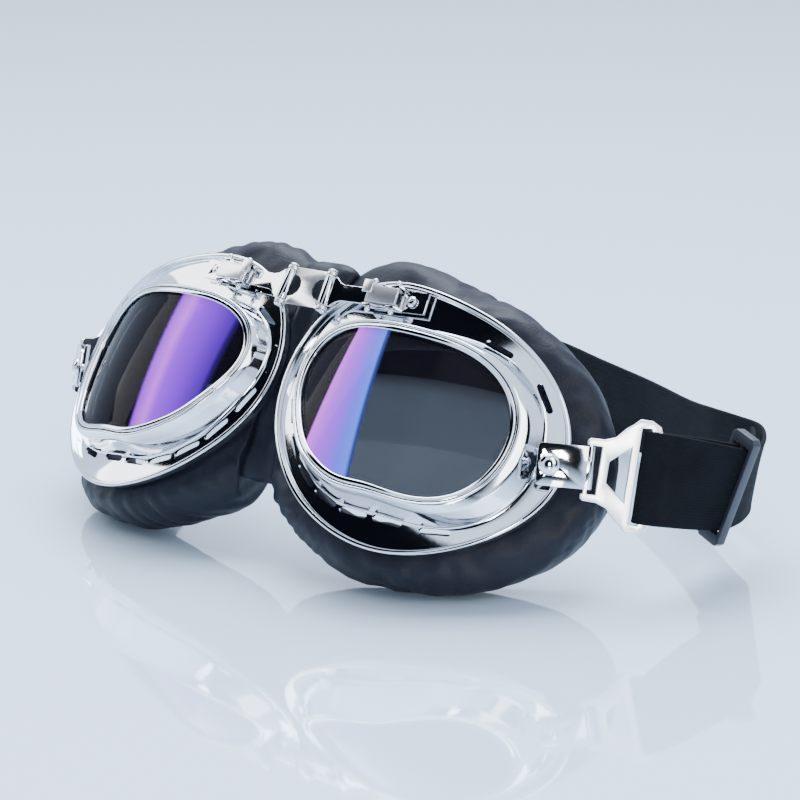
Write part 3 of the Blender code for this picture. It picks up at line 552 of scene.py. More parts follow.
def subdivide(obj):
    step = obj.modifiers.new("smooth", "SUBSURF")
    step.levels = 1
    step.render_levels = 1
    flatten(obj)


# Eyecups ------------------------------------------------------------------

FRAME_SEGMENTS = 200
SEAT_INNER = 0.6  # from the lens outline to the seat's inner edge
RING_RISE = 0.95  # the raised ring's top above the lens edge
VENT_OUT = 1.1  # from the ring's foot to a vent's middle
VENT_CUT = 4.0  # how far a vent's cutter reaches to each side of the flange
BEZEL_WALL = 0.6
GASKET_INNER = -0.2


def rounded_path(corners, steps=4):
    """A closed outline of straight runs. Each corner (x, y, cut) becomes a curve of that cut length."""
    found = []
    for i, (x, y, cut_back) in enumerate(corners):
        corner = Vector((x, y))
        before = Vector(corners[i - 1][:2])
        after = Vector(corners[(i + 1) % len(corners)][:2])
        start = corner + (before - corner).normalized() * min(cut_back, 0.45 * (before - corner).length)
        end = corner + (after - corner).normalized() * min(cut_back, 0.45 * (after - corner).length)
        for k in range(steps + 1):
            t = k / steps
            found.append(start * (1 - t) ** 2 + corner * 2 * t * (1 - t) + end * t * t)
    return found


def frame_profile(angle):
    """The pressed sheet's section: lens seat, raised ring, flange, rolled bead and back beneath."""
    lens, edge, flange = heights(angle)
    rim = flange_radius(angle)
    seat = lens + BEZEL_WIDTH + GAP
    foot = lens + ring_foot(angle)
    shelf = edge - LENS_THICKNESS - GASKET - 2 * GAP
    inner = rim - BEAD
    crest = (seat + foot) / 2
    bead_top = FLANGE_SINK + 0.5
    corners = [
        (lens + SEAT_INNER, shelf - SHEET, 0.1),
        (lens + SEAT_INNER, shelf, 0.1),
        (seat, shelf, 0.1),
        (seat, edge + RING_RISE, 0.4),
        (seat + 0.9, edge + RING_RISE, 0.6),
        (crest, 0.75 * edge + 0.25 * flange(crest) + 0.4, 0.8),
        (foot - 0.2, flange(foot) + 0.1, 1.0),
        (inner, flange(inner), 0.45),
        (inner + 0.1, flange(inner) + bead_top, 0.5),
        (rim, flange(rim) + bead_top, 0.7),
        (rim - 0.5, flange(rim) - SHEET, 0.3),
        (foot + 0.4, flange(foot) - SHEET, 0.1),
        (seat + SHEET, shelf - SHEET, 0.1),
    ]
    return rounded_path(corners)


def slot_outline(length, width, count=7):
    """A slot with round ends."""
    reach = (length - width) / 2
    right = [
        (reach + width / 2 * math.cos(a), width / 2 * math.sin(a))
        for a in (math.pi * (i / (count - 1) - 0.5) for i in range(count))
    ]
    return right + [(-x, -y) for x, y in right]


def vent_radius(angle):
    return lens_radius(angle) + ring_foot(angle) + VENT_OUT


def vent_pieces():
    """Points and faces of one upright slot-shaped plug for each vent."""
    points = []
    faces = []
    for degrees in VENT_ANGLES:
        angle = math.radians(degrees)
        step = math.radians(2)
        centre = vent_radius(angle)
        before, after = (
            Vector((math.cos(a), math.sin(a))) * vent_radius(a) for a in (angle - step, angle + step)
        )
        along = (after - before).normalized()
        across = Vector((along.y, -along.x))
        middle = Vector((math.cos(angle), math.sin(angle))) * centre
        level = heights(angle)[2](centre)
        outline = slot_outline(VENT_LENGTH, VENT_WIDTH)
        start = len(points)
        for z in (-VENT_CUT, VENT_CUT):
            for x, y in outline:
                spot = middle + along * x + across * y
                points.append(on_cup(spot.x, spot.y, level + z))
        count = len(outline)
        faces.append([start + i for i in range(count)])
        faces.append([start + count + i for i in reversed(range(count))])
        for i in range(count):
            j = (i + 1) % count
            faces.append((start + i, start + j, start + count + j, start + count + i))
    return points, faces


def cut(target, tool):
    """Takes the tool's shape out of the target and removes the tool."""
    step = target.modifiers.new("cut", "BOOLEAN")
    step.operation = "DIFFERENCE"
    step.solver = "EXACT"
    step.object = tool
    flatten(target)
    bpy.data.objects.remove(tool)


def eyecup_frames():
    obj = new_object("frame", *swept_ring(frame_profile, FRAME_SEGMENTS), CHROME, sharp=None)
    cut(obj, new_object("vents", *vent_pieces(), CHROME, sharp=None))
    obj.data.shade_smooth()
    obj.data.set_sharp_from_angle(angle=math.radians(40))
    finish_pair(obj, "eyecup_frame")


def bezel_profile(angle):
    lens, edge, _ = heights(angle)
    outer = lens + BEZEL_WIDTH
    corners = [
        (lens, edge + GAP, 0.15),
        (lens + 0.1, edge + 1.25, 0.5),
        (outer, edge + 1.15, 0.6),
        (outer, edge - LENS_THICKNESS, 0.1),
        (outer - BEZEL_WALL, edge - LENS_THICKNESS, 0.1),
        (outer - BEZEL_WALL, edge + GAP, 0.1),
    ]
    return rounded_path(corners)


def bezels():
    obj = new_object("bezel", *swept_ring(bezel_profile, FRAME_SEGMENTS), CHROME, sharp=40)
    finish_pair(obj, "lens_bezel")


def gasket_profile(angle):
    lens, edge, _ = heights(angle)
    top = edge - LENS_THICKNESS - GAP
    return [
        (lens + GASKET_INNER, top - GASKET),
        (lens + BEZEL_WIDTH, top - GASKET),
        (lens + BEZEL_WIDTH, top),
        (lens + GASKET_INNER, top),
    ]


def gaskets():
    obj = new_object("gasket", *swept_ring(gasket_profile, 120), RUBBER)
    finish_pair(obj, "lens_gasket")


def lenses():
    """Curved plates. Their UV map holds millimetres across and up the lens."""
    segments, rings = 120, 14
    points = []
    spots = []
    loops = []
    reach = BEZEL_WIDTH - BEZEL_WALL - GAP
    rows = [(k / rings, 0) for k in range(1, rings + 1)] + [(2, 0), (2, 1)]
    rows += [(k / rings, 1) for k in range(rings, 0, -1)]
    for z in (0, LENS_THICKNESS):
        points.append(on_cup(0, 0, LENS_FORWARD - z))
        spots.append((0, 0))
    for share, drop in rows:
        loops.append(range(len(points), len(points) + segments))
        for i in range(segments):
            angle = 2 * math.pi * i / segments
            rim = lens_radius(angle)
            radius = rim + reach if share > 1 else share * rim
            level = min(radius, rim)
            height = lens_height(level * math.cos(angle), level * math.sin(angle)) - drop * LENS_THICKNESS
            spots.append((radius * math.cos(angle), radius * math.sin(angle)))
            points.append(on_cup(*spots[-1], height))
    faces = loops_to_faces(loops)
    faces += [(0, loops[0][i - 1], loops[0][i]) for i in range(segments)]
    faces += [(1, loops[-1][i], loops[-1][i - 1]) for i in range(segments)]
    obj = new_object("lens", points, faces, LENS_RIGHT)
    layer = obj.data.uv_layers.new(name="face")
    for loop in obj.data.loops:
        layer.data[loop.index].uv = spots[loop.vertex_index]
    _, left = finish_pair(obj, "lens")
    left.data.materials[0] = LENS_LEFT


# Cushions -----------------------------------------------------------------

PUFF_SEGMENTS = 104
PUFF_STEPS = 24
PUFF_INSET = 1.0  # the pad swells, so it starts smaller
PUFF_CAP = 3.5  # a point moves no further than this in the simulation
CLOTH_FRAMES = 20
PLEATS = 46
PLEAT_DEPTH = 1.5
GATHER_MIDDLE = 11.5  # how far behind the flange the creases are deepest
GATHER_SPREAD = 8.5


def cushion_flare(angle):
    corner = NOSE_CORNER_FLARE * bump(angle, NOSE_CORNER_ANGLE, FLARE_SPREAD)
    cheek = NOSE_CHEEK_FLARE * bump(angle, NOSE_CHEEK_ANGLE, FLARE_SPREAD)
    return CUSHION_FLARE + corner + cheek


def cushion_corners(angle):
    """The CAD cushion's section."""
    lens, _, flange = heights(angle)
    rim = flange_radius(angle)
    inner = lens + 5.0
    outer = rim + cushion_flare(angle)
    front = flange(rim) - SHEET - GAP - 0.2
    back = front - CUSHION_DEPTH
    return [
        (inner + 1.0, front - 1.2),
        (rim - 2.5, front - 0.4),
        (rim + 3.0, front - 1.2),
        (outer - 1.5, front - 6.0),
        (outer, front - 0.5 * CUSHION_DEPTH),
        (outer - 3.0, back + 3.5),
        (rim - 1.0, back),
        (inner + 1.5, back + 3.0),
        (inner, front - 0.5 * CUSHION_DEPTH),
    ]


def catmull(a, b, c, d, t):
    return 0.5 * (2 * b + (c - a) * t + (2 * a - 5 * b + 4 * c - d) * t * t + (3 * b - a - 3 * c + d) * t**3)


def closed_curve(corners, count):
    """A smooth closed curve through corners, as count points at equal steps along it."""
    knots = [Vector(p) for p in corners]
    size = len(knots)
    dense = [
        catmull(knots[k - 1], knots[k], knots[(k + 1) % size], knots[(k + 2) % size], t / 12)
        for k in range(size)
        for t in range(12)
    ]
    lengths = [0.0]
    for i in range(len(dense)):
        lengths.append(lengths[-1] + (dense[(i + 1) % len(dense)] - dense[i]).length)
    found = []
    k = 0
    for i in range(count):
        goal = lengths[-1] * i / count
        while lengths[k + 1] < goal:
            k += 1
        t = (goal - lengths[k]) / (lengths[k + 1] - lengths[k])
        found.append(dense[k].lerp(dense[(k + 1) % len(dense)], t))
    return found


def nose_plane(back):
    return NOSE_HALF_GAP + NOSE_SPLAY * max(0.0, back)


def bridge_forward():
    return Vector((0, -math.cos(BRIDGE_LEAN), math.sin(BRIDGE_LEAN)))


def behind_bridge(point):
    return -(point - on_arm(0, 0, 0)).dot(bridge_forward())


def settle(point, nose_gap):
    """Keeps a cushion point off the middle plane and above the table."""
    point.x = max(point.x, nose_plane(behind_bridge(point)) + nose_gap)
    point.z = max(point.z, 0.0)
    return point


def puff_section(angle):
    corners = cushion_corners(angle)
    section = closed_curve(corners, PUFF_STEPS)
    middle = sum(section, Vector((0, 0))) / len(section)
    return [p - (p - middle).normalized() * PUFF_INSET for p in section]


def simulate(obj, pinned):
    """Inflates a closed pad with cloth, holds the pinned points, and caps how far the rest may move."""
    start = np.array([v.co for v in obj.data.vertices])
    group = obj.vertex_groups.new(name="held")
    group.add(pinned, 1.0, "REPLACE")
    cloth = obj.modifiers.new("cloth", "CLOTH")
    settings = cloth.settings
    settings.quality = 6
    settings.mass = 0.15
    settings.tension_stiffness = 12
    settings.compression_stiffness = 8
    settings.shear_stiffness = 5
    settings.bending_stiffness = 0.4
    settings.use_pressure = True
    settings.uniform_pressure_force = 4.0
    settings.shrink_min = -0.045
    settings.vertex_group_mass = "held"
    settings.effector_weights.gravity = 0.0
    cloth.collision_settings.use_self_collision = False
    cloth.collision_settings.use_collision = False
    cloth.point_cache.frame_start = 1
    cloth.point_cache.frame_end = CLOTH_FRAMES
    scene = bpy.context.scene
    for number in range(1, CLOTH_FRAMES + 1):
        scene.frame_set(number)
    graph = bpy.context.evaluated_depsgraph_get()
    moved = np.array([v.co for v in obj.evaluated_get(graph).data.vertices])
    obj.modifiers.clear()
    obj.vertex_groups.clear()
    scene.frame_set(1)
    away = moved - start
    size = np.linalg.norm(away, axis=1, keepdims=True)
    cap = PUFF_CAP * MM
    away *= np.where(size > cap, cap / np.maximum(size, 1e-9), 1.0)
    obj.data.vertices.foreach_set("co", (start + away).ravel())
    obj.data.update()


def pleat(angle, seed):
    """Narrow creases at uneven angles round the gathered edge, from 0 to 1."""
    wander = 1.1 * math.sin(3 * angle + seed) + 0.5 * math.sin(7 * angle + 2.1 * seed)
    phase = PLEATS * angle / (2 * math.pi) + wander
    dip = abs(math.sin(math.pi * phase))
    strength = 0.6 + 0.4 * math.sin(5.3 * angle + 1.7 * seed)
    return (1.0 - dip) ** 1.6 * strength


def gather(obj, seed):
    """Sewn gathers: creases that are deepest at the outer edge and fade out on the front and back."""
    mesh = obj.data
    turn = CUP.inverted()
    shape = bmesh.new()
    shape.from_mesh(mesh)
    shape.normal_update()
    shifts = []
    for vert in shape.verts:
        spot = turn @ (vert.co / MM)
        u, v, w = spot.x, spot.z, -spot.y
        angle = math.atan2(v, u)
        radius = math.hypot(u, v)
        rim = flange_radius(angle)
        outer = rim + cushion_flare(angle)
        _, _, flange = heights(angle)
        depth = flange(rim) - SHEET - w
        edge = min(1.0, max(0.0, (radius - rim + 1.5) / (outer - rim)))
        side = math.exp(-(((depth - GATHER_MIDDLE) / GATHER_SPREAD) ** 2))
        crease = pleat(angle + 0.012 * (depth - 12), seed) * edge * side
        soft = math.sin(23 * angle + 0.45 * depth + seed) * math.sin(0.43 * depth + 9 * angle)
        near_floor = min(1.0, max(0.0, (vert.co.z / MM - 0.5) / 4.0))
        shifts.append(-(PLEAT_DEPTH * crease + 0.3 * soft * edge) * near_floor)
    for vert, shift in zip(shape.verts, shifts):
        vert.co += vert.normal * shift * MM
    shape.to_mesh(mesh)
    shape.free()
    mesh.update()


def cushions():
    points, faces = swept_ring(puff_section, PUFF_SEGMENTS)
    points = [settle(p, 0.3) for p in points]
    obj = new_object("cushion", points, faces, LEATHERETTE, sharp=None)
    # The front face is sewn to the frame, and the flat foot stays on the table.
    held = []
    for i in range(PUFF_SEGMENTS):
        levels = [p.y for p in puff_section(2 * math.pi * i / PUFF_SEGMENTS)]
        front = levels.index(max(levels))
        held += [i * PUFF_STEPS + (front + k) % PUFF_STEPS for k in (-1, 0, 1)]
    held += [i for i, p in enumerate(points) if p.z < 0.01]
    simulate(obj, sorted(set(held)))
    settle_mesh(obj)
    subdivide(obj)
    left = obj.copy()
    left.data = obj.data.copy()
    bpy.context.collection.objects.link(left)
    gather(obj, 0.7)
    gather(left, 2.9)
    for piece in (obj, left):
        subdivide(piece)
        settle_mesh(piece)
        piece.data.shade_smooth()
    left.data.transform(Matrix.Diagonal((-1, 1, 1, 1)))
    left.data.flip_normals()
    for piece, side in ((obj, "right"), (left, "left")):
        piece.name = side + "_cushion"
        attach(piece, side + "_eyecup")
        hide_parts(side + "_face_cushion")
    return obj


def settle_mesh(obj):
    """After swelling: back inside the CAD solid's limits at the nose, the frame and the table."""
    turn = CUP.inverted()
    for vert in obj.data.vertices:
        spot = turn @ (vert.co / MM)
        u, v, w = spot.x, spot.z, -spot.y
        angle = math.atan2(v, u)
        _, _, flange = heights(angle)
        radius = math.hypot(u, v)
        rim = flange_radius(angle)
        top = flange(min(radius, rim)) - SHEET - GAP
        if w > top and radius < rim + 0.5:
            spot.y = -top
        vert.co = settle(CUP @ spot, 0.05) * MM
    obj.data.update()


# Nose web -----------------------------------------------------------------

WEB_TOP = 12.0
WEB_BOTTOM = -58.0
WEB_TUCK = 1.2  # how far the saddle is sewn into each cushion
WEB_REACH = 14.0  # no cushion is looked for further out than this
WEB_CREASE = 1.6


def reach_to(tree, start, fallback):
    """How far the right cushion is from a point of the middle plane."""
    spot, _, _, distance = tree.ray_cast(start * MM, Vector((1, 0, 0)), WEB_REACH * MM)
    return distance / MM if spot else fallback


def nose_web(cushion):
    """A soft saddle that fills the space between the cushions, creased down its middle."""
    tree = BVHTree.FromObject(cushion, bpy.context.evaluated_depsgraph_get())
    rows, around = 44, 32
    points = []
    loops = []
    half = 5.0
    for i in range(rows + 1):
        t = i / rows
        h = WEB_TOP + (WEB_BOTTOM - WEB_TOP) * t
        front = -4.6 - 3.4 * t * t
        back = -17.0 + 4.0 * abs(2 * t - 1) ** 3
        pinch = math.sqrt(max(0.02, 1 - abs(2 * t - 1) ** 12))
        middle = (front + back) / 2
        start = on_arm(0, middle, h)
        half = 0.5 * half + 0.5 * reach_to(tree, Vector((0, start.y, start.z)), half)
        loops.append(range(len(points), len(points) + around))
        for j in range(around):
            angle = 2 * math.pi * j / around
            c, s = math.cos(angle), math.sin(angle)
            across = math.copysign(abs(c) ** 0.5, c)
            deep = math.copysign(abs(s) ** 0.7, s)
            f = middle + deep * pinch * (front - back) / 2
            if s > 0:
                ripple = 0.45 * math.sin(31 * t + 3 * across) * abs(across)
                f += s * (ripple - WEB_CREASE * math.exp(-((across / 0.13) ** 2)))
            spot = on_arm(0, f, h)
            points.append(Vector((across * (half + WEB_TUCK) * (0.85 + 0.15 * pinch), spot.y, spot.z)))
    faces = loops_to_faces(loops)
    faces += [tuple(loops[0]), tuple(reversed(loops[-1]))]
    obj = new_object("nose_saddle", points, faces, LEATHERETTE, sharp=None)
    subdivide(obj)
    obj.data.shade_smooth()
    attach(obj, "bridge")
    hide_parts("nose_web")


# Small metal --------------------------------------------------------------


def dome(radius, height, level, steps=7):
    """Profile points of a round head, from its rim to its top."""
    angles = [math.pi / 2 * i / steps for i in range(steps)]
    return [(radius * math.cos(a), level + height * math.sin(a)) for a in angles]


def hinge_pins():
    half = PIN_HEIGHT / 2
    head = dome(PIN_HEAD_RADIUS, 0.75, half)
    upper = [(PIN_RADIUS, half - 0.02), (PIN_HEAD_RADIUS - 0.1, half - 0.02)] + head + [(0, half + 0.75)]
    lower = [(r, -z) for r, z in reversed(upper)]
    obj = new_object("pin", *turned(lower + upper, 28, on_arm), CHROME)
    finish_pair(obj, "hinge_pin", "bridge", "bridge")


def ball_pins(node, at, forward, radius):
    """A pin across the channel with a ball on each end."""
    start = CHANNEL_HEIGHT / 2 + GAP
    ball = BALL_RADIUS
    angles = [math.pi / 2 * (k / 6) for k in range(-5, 6)]
    globe = [(ball * math.cos(a), start + ball * 0.9 + ball * math.sin(a)) for a in angles]
    upper = [(radius, start + 0.1)] + globe + [(0, start + 1.9 * ball)]
    lower = [(r, -z) for r, z in reversed(upper)]
    mesh = turned(lower + upper, 20, lambda x, y, z: on_arm(at + x, forward + y, z))
    obj = new_object("ball_pin", *mesh, CHROME)
    finish_pair(obj, node)


def screws():
    top = -PLATE_DROP + GAP
    profile = [(0, top - 1.7), (0.7, top - 1.65), (0.8, top - 1.5), (0.8, top), (SCREW_HEAD - 0.05, top)]
    profile += dome(SCREW_HEAD, 0.6, top + 0.35) + [(0, top + 0.95)]
    obj = new_object("screw", *turned(profile, 32, lambda x, z, y: on_arm(SCREW_AT + x, y, z)), CHROME)
    turn = math.radians(28)
    corners = []
    for level in (top + 0.55, top + 2.0):
        for x, z in ((-2, -0.2), (2, -0.2), (2, 0.2), (-2, 0.2)):
            a = x * math.cos(turn) - z * math.sin(turn)
            b = x * math.sin(turn) + z * math.cos(turn)
            corners.append(on_arm(SCREW_AT + a, level, b))
    sides = [(0, 1, 2, 3), (7, 6, 5, 4)] + [(i, (i + 1) % 4, (i + 1) % 4 + 4, i + 4) for i in range(4)]
    cut(obj, new_object("screw_slot", corners, sides, CHROME, sharp=None))
    obj.data.set_sharp_from_angle(angle=math.radians(35))
    finish_pair(obj, "bridge_screw")


def tab_matrix():
    radius = flange_radius(TAB_ANGLE)
    u, v = radius * math.cos(TAB_ANGLE), radius * math.sin(TAB_ANGLE)
    bead = on_cup(u - 0.6, v, flange_height(u, v) + 0.5)
    turn = Matrix.Rotation(TAB_SWEEP, 4, "Z") @ Matrix.Rotation(-TAB_LEAN, 4, "X")
    turn = turn @ Matrix.Rotation(TAB_DROP, 4, "Y")
    return Matrix.Translation(bead) @ turn @ Matrix.Translation((0, -TAB_THICKNESS / 2 - TAB_STANDOFF, 0))


TAB = tab_matrix()
CURL_AT = TAB_OUTSIDE + CURL_RADIUS


def on_tab(a, f, b):
    return TAB @ Vector((a, -f, b))


def rivets():
    face = TAB_THICKNESS / 2 + GAP
    low = -TAB_THICKNESS / 2 - 1.0
    profile = [(0, low - 0.05), (1.1, low), (1.2, low + 0.1), (1.2, face), (RIVET_RADIUS - 0.15, face)]
    profile += [(RIVET_RADIUS, face + 0.15)] + dome(RIVET_RADIUS - 0.02, 1.45, face + 0.25, 9)
    profile += [(0, face + 1.7)]
    at = -TAB_INSIDE + RIVET_FROM_END
    obj = new_object("rivet", *turned(profile, 40, lambda x, z, y: on_tab(at + x, y, z)), CHROME)
    finish_pair(obj, "tab_rivet")


def rounded(node, body, finish, width, segments=2):
    """A CAD node's own shape with its sharp edges rounded off."""
    source = frame["nodes"][node]
    mesh = source.data.copy()
    shape = bmesh.new()
    shape.from_mesh(mesh)
    bmesh.ops.remove_doubles(shape, verts=shape.verts, dist=0.002 * MM)
    bmesh.ops.dissolve_limit(
        shape,
        angle_limit=math.radians(1.0),
        verts=shape.verts,
        edges=shape.edges,
        use_dissolve_boundaries=False,
    )
    edges = [e for e in shape.edges if len(e.link_faces) == 2 and e.calc_face_angle(0.0) > math.radians(38)]
    bmesh.ops.bevel(
        shape,
        geom=edges,
        offset=width * MM,
        segments=segments,
        profile=0.5,
        affect="EDGES",
        clamp_overlap=True,
    )
    bmesh.ops.triangulate(shape, faces=[f for f in shape.faces if len(f.verts) > 4])
    shape.to_mesh(mesh)
    shape.free()
    obj = bpy.data.objects.new(node + "_look", mesh)
    bpy.context.collection.objects.link(obj)
    mesh.materials.clear()
    mesh.materials.append(finish)
    mesh.shade_smooth()
    mesh.set_sharp_from_angle(angle=math.radians(50))
    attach(obj, body)
    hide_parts(node)


def small_metal():
    rounded("bridge_link", "bridge", STEEL, 0.14)
    for side in ("right", "left"):
        rounded(side + "_hinge_tongue", side + "_tongue", CHROME, 0.14)
        rounded(side + "_bridge_base", side + "_eyecup", CHROME, 0.14)
        rounded(side + "_clamp_lever", side + "_lever", STEEL, 0.18)
        rounded(side + "_strap_tab", side + "_eyecup", CHROME, 0.18)
        rounded(side + "_strap_buckle", side + "_buckle", STEEL, 0.35, 3)
    rounded("strap_slider", "slider", PLASTIC, 0.35, 3)


# Strap --------------------------------------------------------------------


def buckle_matrix(swing):
    place = Matrix.Translation((CURL_AT, CURL_RADIUS - TAB_THICKNESS / 2, -BUCKLE_SLIDE))
    turn = Matrix.Rotation(swing, 4, "Z")
    return TAB @ place @ turn @ Matrix.Rotation(BUCKLE_DROP - TAB_DROP, 4, "Y")


def on_buckle(swing, side):
    matrix = buckle_matrix(swing)

    def to_world(a, f, b):
        spot = matrix @ Vector((a, -f, b))
        return Vector((side * spot.x, spot.y, spot.z))

    return to_world


LAYER = BUCKLE_THICKNESS / 2 + GAP + STRAP_THICKNESS / 2
STRAP_PARTINGS = (0.22, 0.40, 0.58, 0.76, 0.90)  # where stretches meet, as shares of the run
BEND_INSET = 6  # centres from a stretch's end to where its bend starts


def strap_wrap(swing, side):
    """Band centres round a buckle's outer bar, from its back through the slot to its front."""
    place = on_buckle(swing, side)
    slot = (SLOT_START + SLOT_END) / 2
    angles = [math.pi / 2 * k / 8 for k in range(-8, 9)]
    bend = [(slot + 1.8 - 1.75 * math.cos(a), LAYER * math.sin(a)) for a in angles]
    path = [(BUCKLE_LENGTH + 1, -LAYER)] + bend + [(BUCKLE_LENGTH + 1, LAYER)]
    up = place(0, 0, 1) - place(0, 0, 0)
    return [place(a, f, 0) for a, f in path], [up] * len(path)


def leaning(lean):
    return Vector((lean[0], lean[1], 1.0)).normalized()


def curve_through(points, count):
    knots = [Vector(p) for p in points]
    knots = [2 * knots[0] - knots[1]] + knots + [2 * knots[-1] - knots[-2]]
    spans = len(knots) - 3
    found = []
    for i in range(count):
        place = spans * i / (count - 1)
        k = min(int(place), spans - 1)
        found.append(catmull(*knots[k : k + 4], place - k))
    return found


def strap_lines():
    """The whole band's centres and upward directions, from the free end to the left buckle.

    Also gives the first centre past the right buckle, and how many centres the run from there has.
    """
    right, right_ups = strap_wrap(0.0, 1)
    left, left_ups = strap_wrap(LEFT_BUCKLE_SWING, -1)
    slider_up = leaning(SLIDER_LEAN)
    along = Vector(STRAP_ROUTE[0][0]) - on_buckle(0.0, 1)(BUCKLE_LENGTH, 0, 0)
    along = (along - along.dot(slider_up) * slider_up).normalized()
    at_slider = Vector(SLIDER_AT) + along.cross(slider_up) * LAYER
    centres = [right[-1], at_slider] + [Vector(spot) for spot, _ in STRAP_ROUTE] + [left[-1]]
    leans = [right_ups[0], slider_up] + [leaning(lean) for _, lean in STRAP_ROUTE] + [left_ups[0]]
    count = (STRAP_CONTROLS - 1) * STRAP_FINE + 1
    run = curve_through(centres, count)
    ups = [up.normalized() for up in curve_through(leans, count)]
    end = (STRAP_TAIL - 1) * STRAP_FINE
    tail = []
    for i in range(STRAP_FINE, end + 1):
        ahead = run[min(i + 1, count - 1)] - run[i - 1]
        tail.append(run[i] - ahead.cross(ups[i]).normalized() * 2 * LAYER)
    route = tail[::-1] + right[:-1] + run[:-1] + left[::-1]
    all_ups = ups[STRAP_FINE : end + 1][::-1] + right_ups[:-1] + ups[:-1] + left_ups
    first = len(tail) + len(right) - 1
    return route, all_ups, first, count


def band_section():
    """Points across the band and out of its face, which is a little thicker near its rounded edges."""
    half, thick = STRAP_WIDTH / 2, STRAP_THICKNESS / 2
    face = [half - 0.35, half - 1.1, half - 1.9, half * 0.6, half * 0.3, 0.0]
    lift = [0.0, 0.0, -0.08, -0.06, -0.03, 0.0]
    upper = [(z, thick + d) for z, d in zip(face, lift)]
    upper += [(-z, y) for z, y in reversed(upper[:-1])]
    upper = [(half - 0.08, thick * 0.62)] + upper + [(-half + 0.08, thick * 0.62)]
    return [(half, 0.0)] + upper + [(-half, 0.0)] + [(z, -y) for z, y in reversed(upper)]


def band(name, route, ups, lead, trail, offset):
    """One stretch of the band, and its length.

    lead and trail are the neighbouring centres, so that the stretches meet exactly.
    """
    section = band_section()
    points = []
    spots = []
    loops = []
    path = [lead] + list(route) + [trail]
    walked = offset
    for i, spot in enumerate(route):
        ahead = path[i + 2] - path[i]
        side = ahead.cross(ups[i]).normalized()
        if i:
            walked += (spot - route[i - 1]).length
        loops.append(range(len(points), len(points) + len(section)))
        for z, y in section:
            point = spot + ups[i] * z + side * y
            point.z = max(point.z, 0.0)
            points.append(point)
            spots.append((z, walked))
    faces = loops_to_faces(loops)
    faces += [tuple(loops[0]), tuple(reversed(loops[-1]))]
    obj = new_object(name, points, faces, WEBBING, sharp=60)
    layer = obj.data.uv_layers.new(name="cloth")
    for loop in obj.data.loops:
        layer.data[loop.index].uv = spots[loop.vertex_index]
    return obj, walked - offset


def elastic_strap():
    """Stretches of the band, from the right buckle round to the left one."""
    route, ups, first, count = strap_lines()
    right = ("right_buckle", "right_eyecup", "right_tongue")
    left = ("left_tongue", "left_eyecup", "left_buckle")
    chain = (*right, "bridge", *left)
    ends = [0] + [first + int(share * count) for share in STRAP_PARTINGS] + [len(route) - 1]
    walked = 0.0
    for k in range(len(chain) - 1):
        low, high = ends[k], ends[k + 1]
        lead = route[max(low - 1, 0)] if low else 2 * route[0] - route[1]
        trail = route[high + 1] if high + 1 < len(route) else 2 * route[-1] - route[-2]
        stretch = slice(low, high + 1)
        obj, length = band(f"strap_{k + 1}", route[stretch], ups[stretch], lead, trail, walked)
        walked += length
        if k == 0:
            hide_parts("elastic_strap")
            start = on_buckle(0.0, 1)(BUCKLE_LENGTH + 0.5, 0, 0)
            end = start + (Vector(SLIDER_AT) - start) * 0.6
        elif k == len(chain) - 2:
            end = on_buckle(LEFT_BUCKLE_SWING, -1)(BUCKLE_LENGTH + 1.5, 0, 0)
            start = route[low + BEND_INSET]
        else:
            start, end = route[low + BEND_INSET], route[high - BEND_INSET]
        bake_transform(obj)


# Stage --------------------------------------------------------------------


def floor():
    made = Nodes("pale_floor")
    cloud = made.noise(1.2, 2.0, 0.4)
    made.feed("Base Color", made.ramp(cloud, ((0.3, (0.66, 0.82, 1.0)), (0.7, (0.72, 0.86, 1.0)))))
    made.feed("Roughness", made.math("ADD", made.math("MULTIPLY", cloud, 0.02), 0.05))
    made.set(Specular_IOR_Level=0.9, Coat_Weight=1.0, Coat_Roughness=0.03)
    half, level = 4000.0, -0.15
    points = [(-half, -half, level), (half, -half, level), (half, half, level), (-half, half, level)]
    mesh = bpy.data.meshes.new("floor")
    mesh.from_pydata([Vector(p) * MM for p in points], [], [(0, 1, 2, 3)])
    mesh.materials.append(made.material)
    obj = bpy.data.objects.new("floor", mesh)
    bpy.context.collection.objects.link(obj)


def softbox(name, place, aim, size, power, colour=(1.0, 1.0, 1.0)):
    data = bpy.data.lights.new(name, "AREA")
    data.shape = "RECTANGLE"
    data.size, data.size_y = size
    data.energy = power
    data.color = colour
    obj = bpy.data.objects.new(name, data)
    obj.location = place
    obj.rotation_euler = (Vector(aim) - Vector(place)).to_track_quat("-Z", "Y").to_euler()
    bpy.context.collection.objects.link(obj)


DARK_PATCHES = (  # the direction of each, and the cosines where it is full and where it ends
    ((0.66, -0.72, 0.22), 0.93, 0.88),
    ((-0.30, -0.60, 0.73), 0.915, 0.88),
    ((-0.80, -0.38, 0.46), 0.955, 0.93),
    ((0.98, 0.05, 0.28), 0.96, 0.92),
)


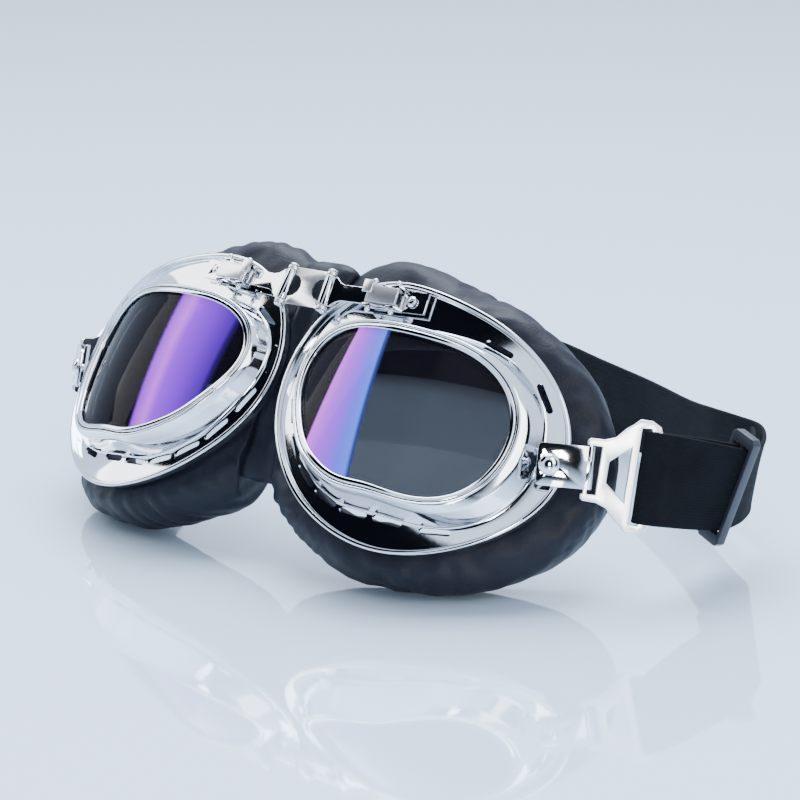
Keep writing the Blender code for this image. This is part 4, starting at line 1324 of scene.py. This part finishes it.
def world():
    """A pale surround, with four dark patches for the chrome to pick up."""
    made = bpy.data.worlds.new("studio")
    bpy.context.scene.world = made
    made.use_nodes = True
    tree = made.node_tree
    back = tree.nodes["Background"]
    place = tree.nodes.new("ShaderNodeTexCoord")

    def toward(direction, near, far):
        dot = tree.nodes.new("ShaderNodeVectorMath")
        dot.operation = "DOT_PRODUCT"
        dot.inputs[1].default_value = Vector(direction).normalized()
        tree.links.new(place.outputs["Generated"], dot.inputs[0])
        spread = tree.nodes.new("ShaderNodeMapRange")
        spread.interpolation_type = "SMOOTHSTEP"
        spread.inputs["From Min"].default_value = far
        spread.inputs["From Max"].default_value = near
        tree.links.new(dot.outputs["Value"], spread.inputs["Value"])
        return spread.outputs[0]

    def mix(share, a, b):
        node = tree.nodes.new("ShaderNodeMix")
        node.data_type = "RGBA"
        tree.links.new(share, node.inputs[0])
        for socket, value in ((node.inputs[6], a), (node.inputs[7], b)):
            if isinstance(value, tuple):
                socket.default_value = (*value, 1.0)
            else:
                tree.links.new(value, socket)
        return node.outputs[2]

    sky = mix(toward((0, 0, 1), 0.9, -0.1), (1.05, 1.28, 1.68), (1.40, 1.60, 1.95))
    for direction, near, far in DARK_PATCHES:
        sky = mix(toward(direction, near, far), sky, (0.004, 0.005, 0.009))
    tree.links.new(sky, back.inputs["Color"])
    back.inputs["Strength"].default_value = 1.0


def camera():
    """A long lens, 38 degrees round to the right of the front and 16 degrees above it."""
    place = Vector((0.47574, -0.62784, 0.25697))
    aim = Vector((0.03034, -0.05594, 0.0466))
    roll = math.radians(-1.1)
    forward = (aim - place).normalized()
    right = forward.cross(Vector((0, 0, 1))).normalized()
    up = right.cross(forward)
    tilted = right * math.cos(roll) + up * math.sin(roll)
    upright = tilted.cross(forward)
    data = bpy.data.cameras.new("camera")
    data.lens = 116.2
    data.sensor_width = 36.0
    obj = bpy.data.objects.new("camera", data)
    turn = Matrix((tilted, upright, -forward)).transposed().to_4x4()
    obj.matrix_world = Matrix.Translation(place) @ turn
    bpy.context.collection.objects.link(obj)
    bpy.context.scene.camera = obj


eyecup_frames()
bezels()
gaskets()
lenses()
nose_web(cushions())
hinge_pins()
ball_pins("guide_pin", GUIDE_PIN_AT, GUIDE_PIN_FORWARD, GUIDE_PIN_RADIUS)
ball_pins("lever_pin", LEVER_PIN_AT, LEVER_PIN_FORWARD, LEVER_PIN_RADIUS)
screws()
rivets()
small_metal()
elastic_strap()
floor()
softbox("top_light", (-0.25, 0.35, 1.15), (0.0, -0.05, 0.0), (1.1, 0.9), 42.0, (0.80, 0.89, 1.0))
softbox("left_light", (-1.0, -0.35, 0.75), (0.0, -0.06, 0.05), (0.5, 0.9), 7.0, (0.96, 0.98, 1.0))
softbox("right_light", (1.0, -0.25, 0.55), (0.03, -0.06, 0.04), (0.35, 0.8), 5.0)
softbox("buckle_light", (0.95, -0.86, 0.26), (0.10, -0.05, 0.04), (0.16, 0.30), 5.0)
world()
camera()
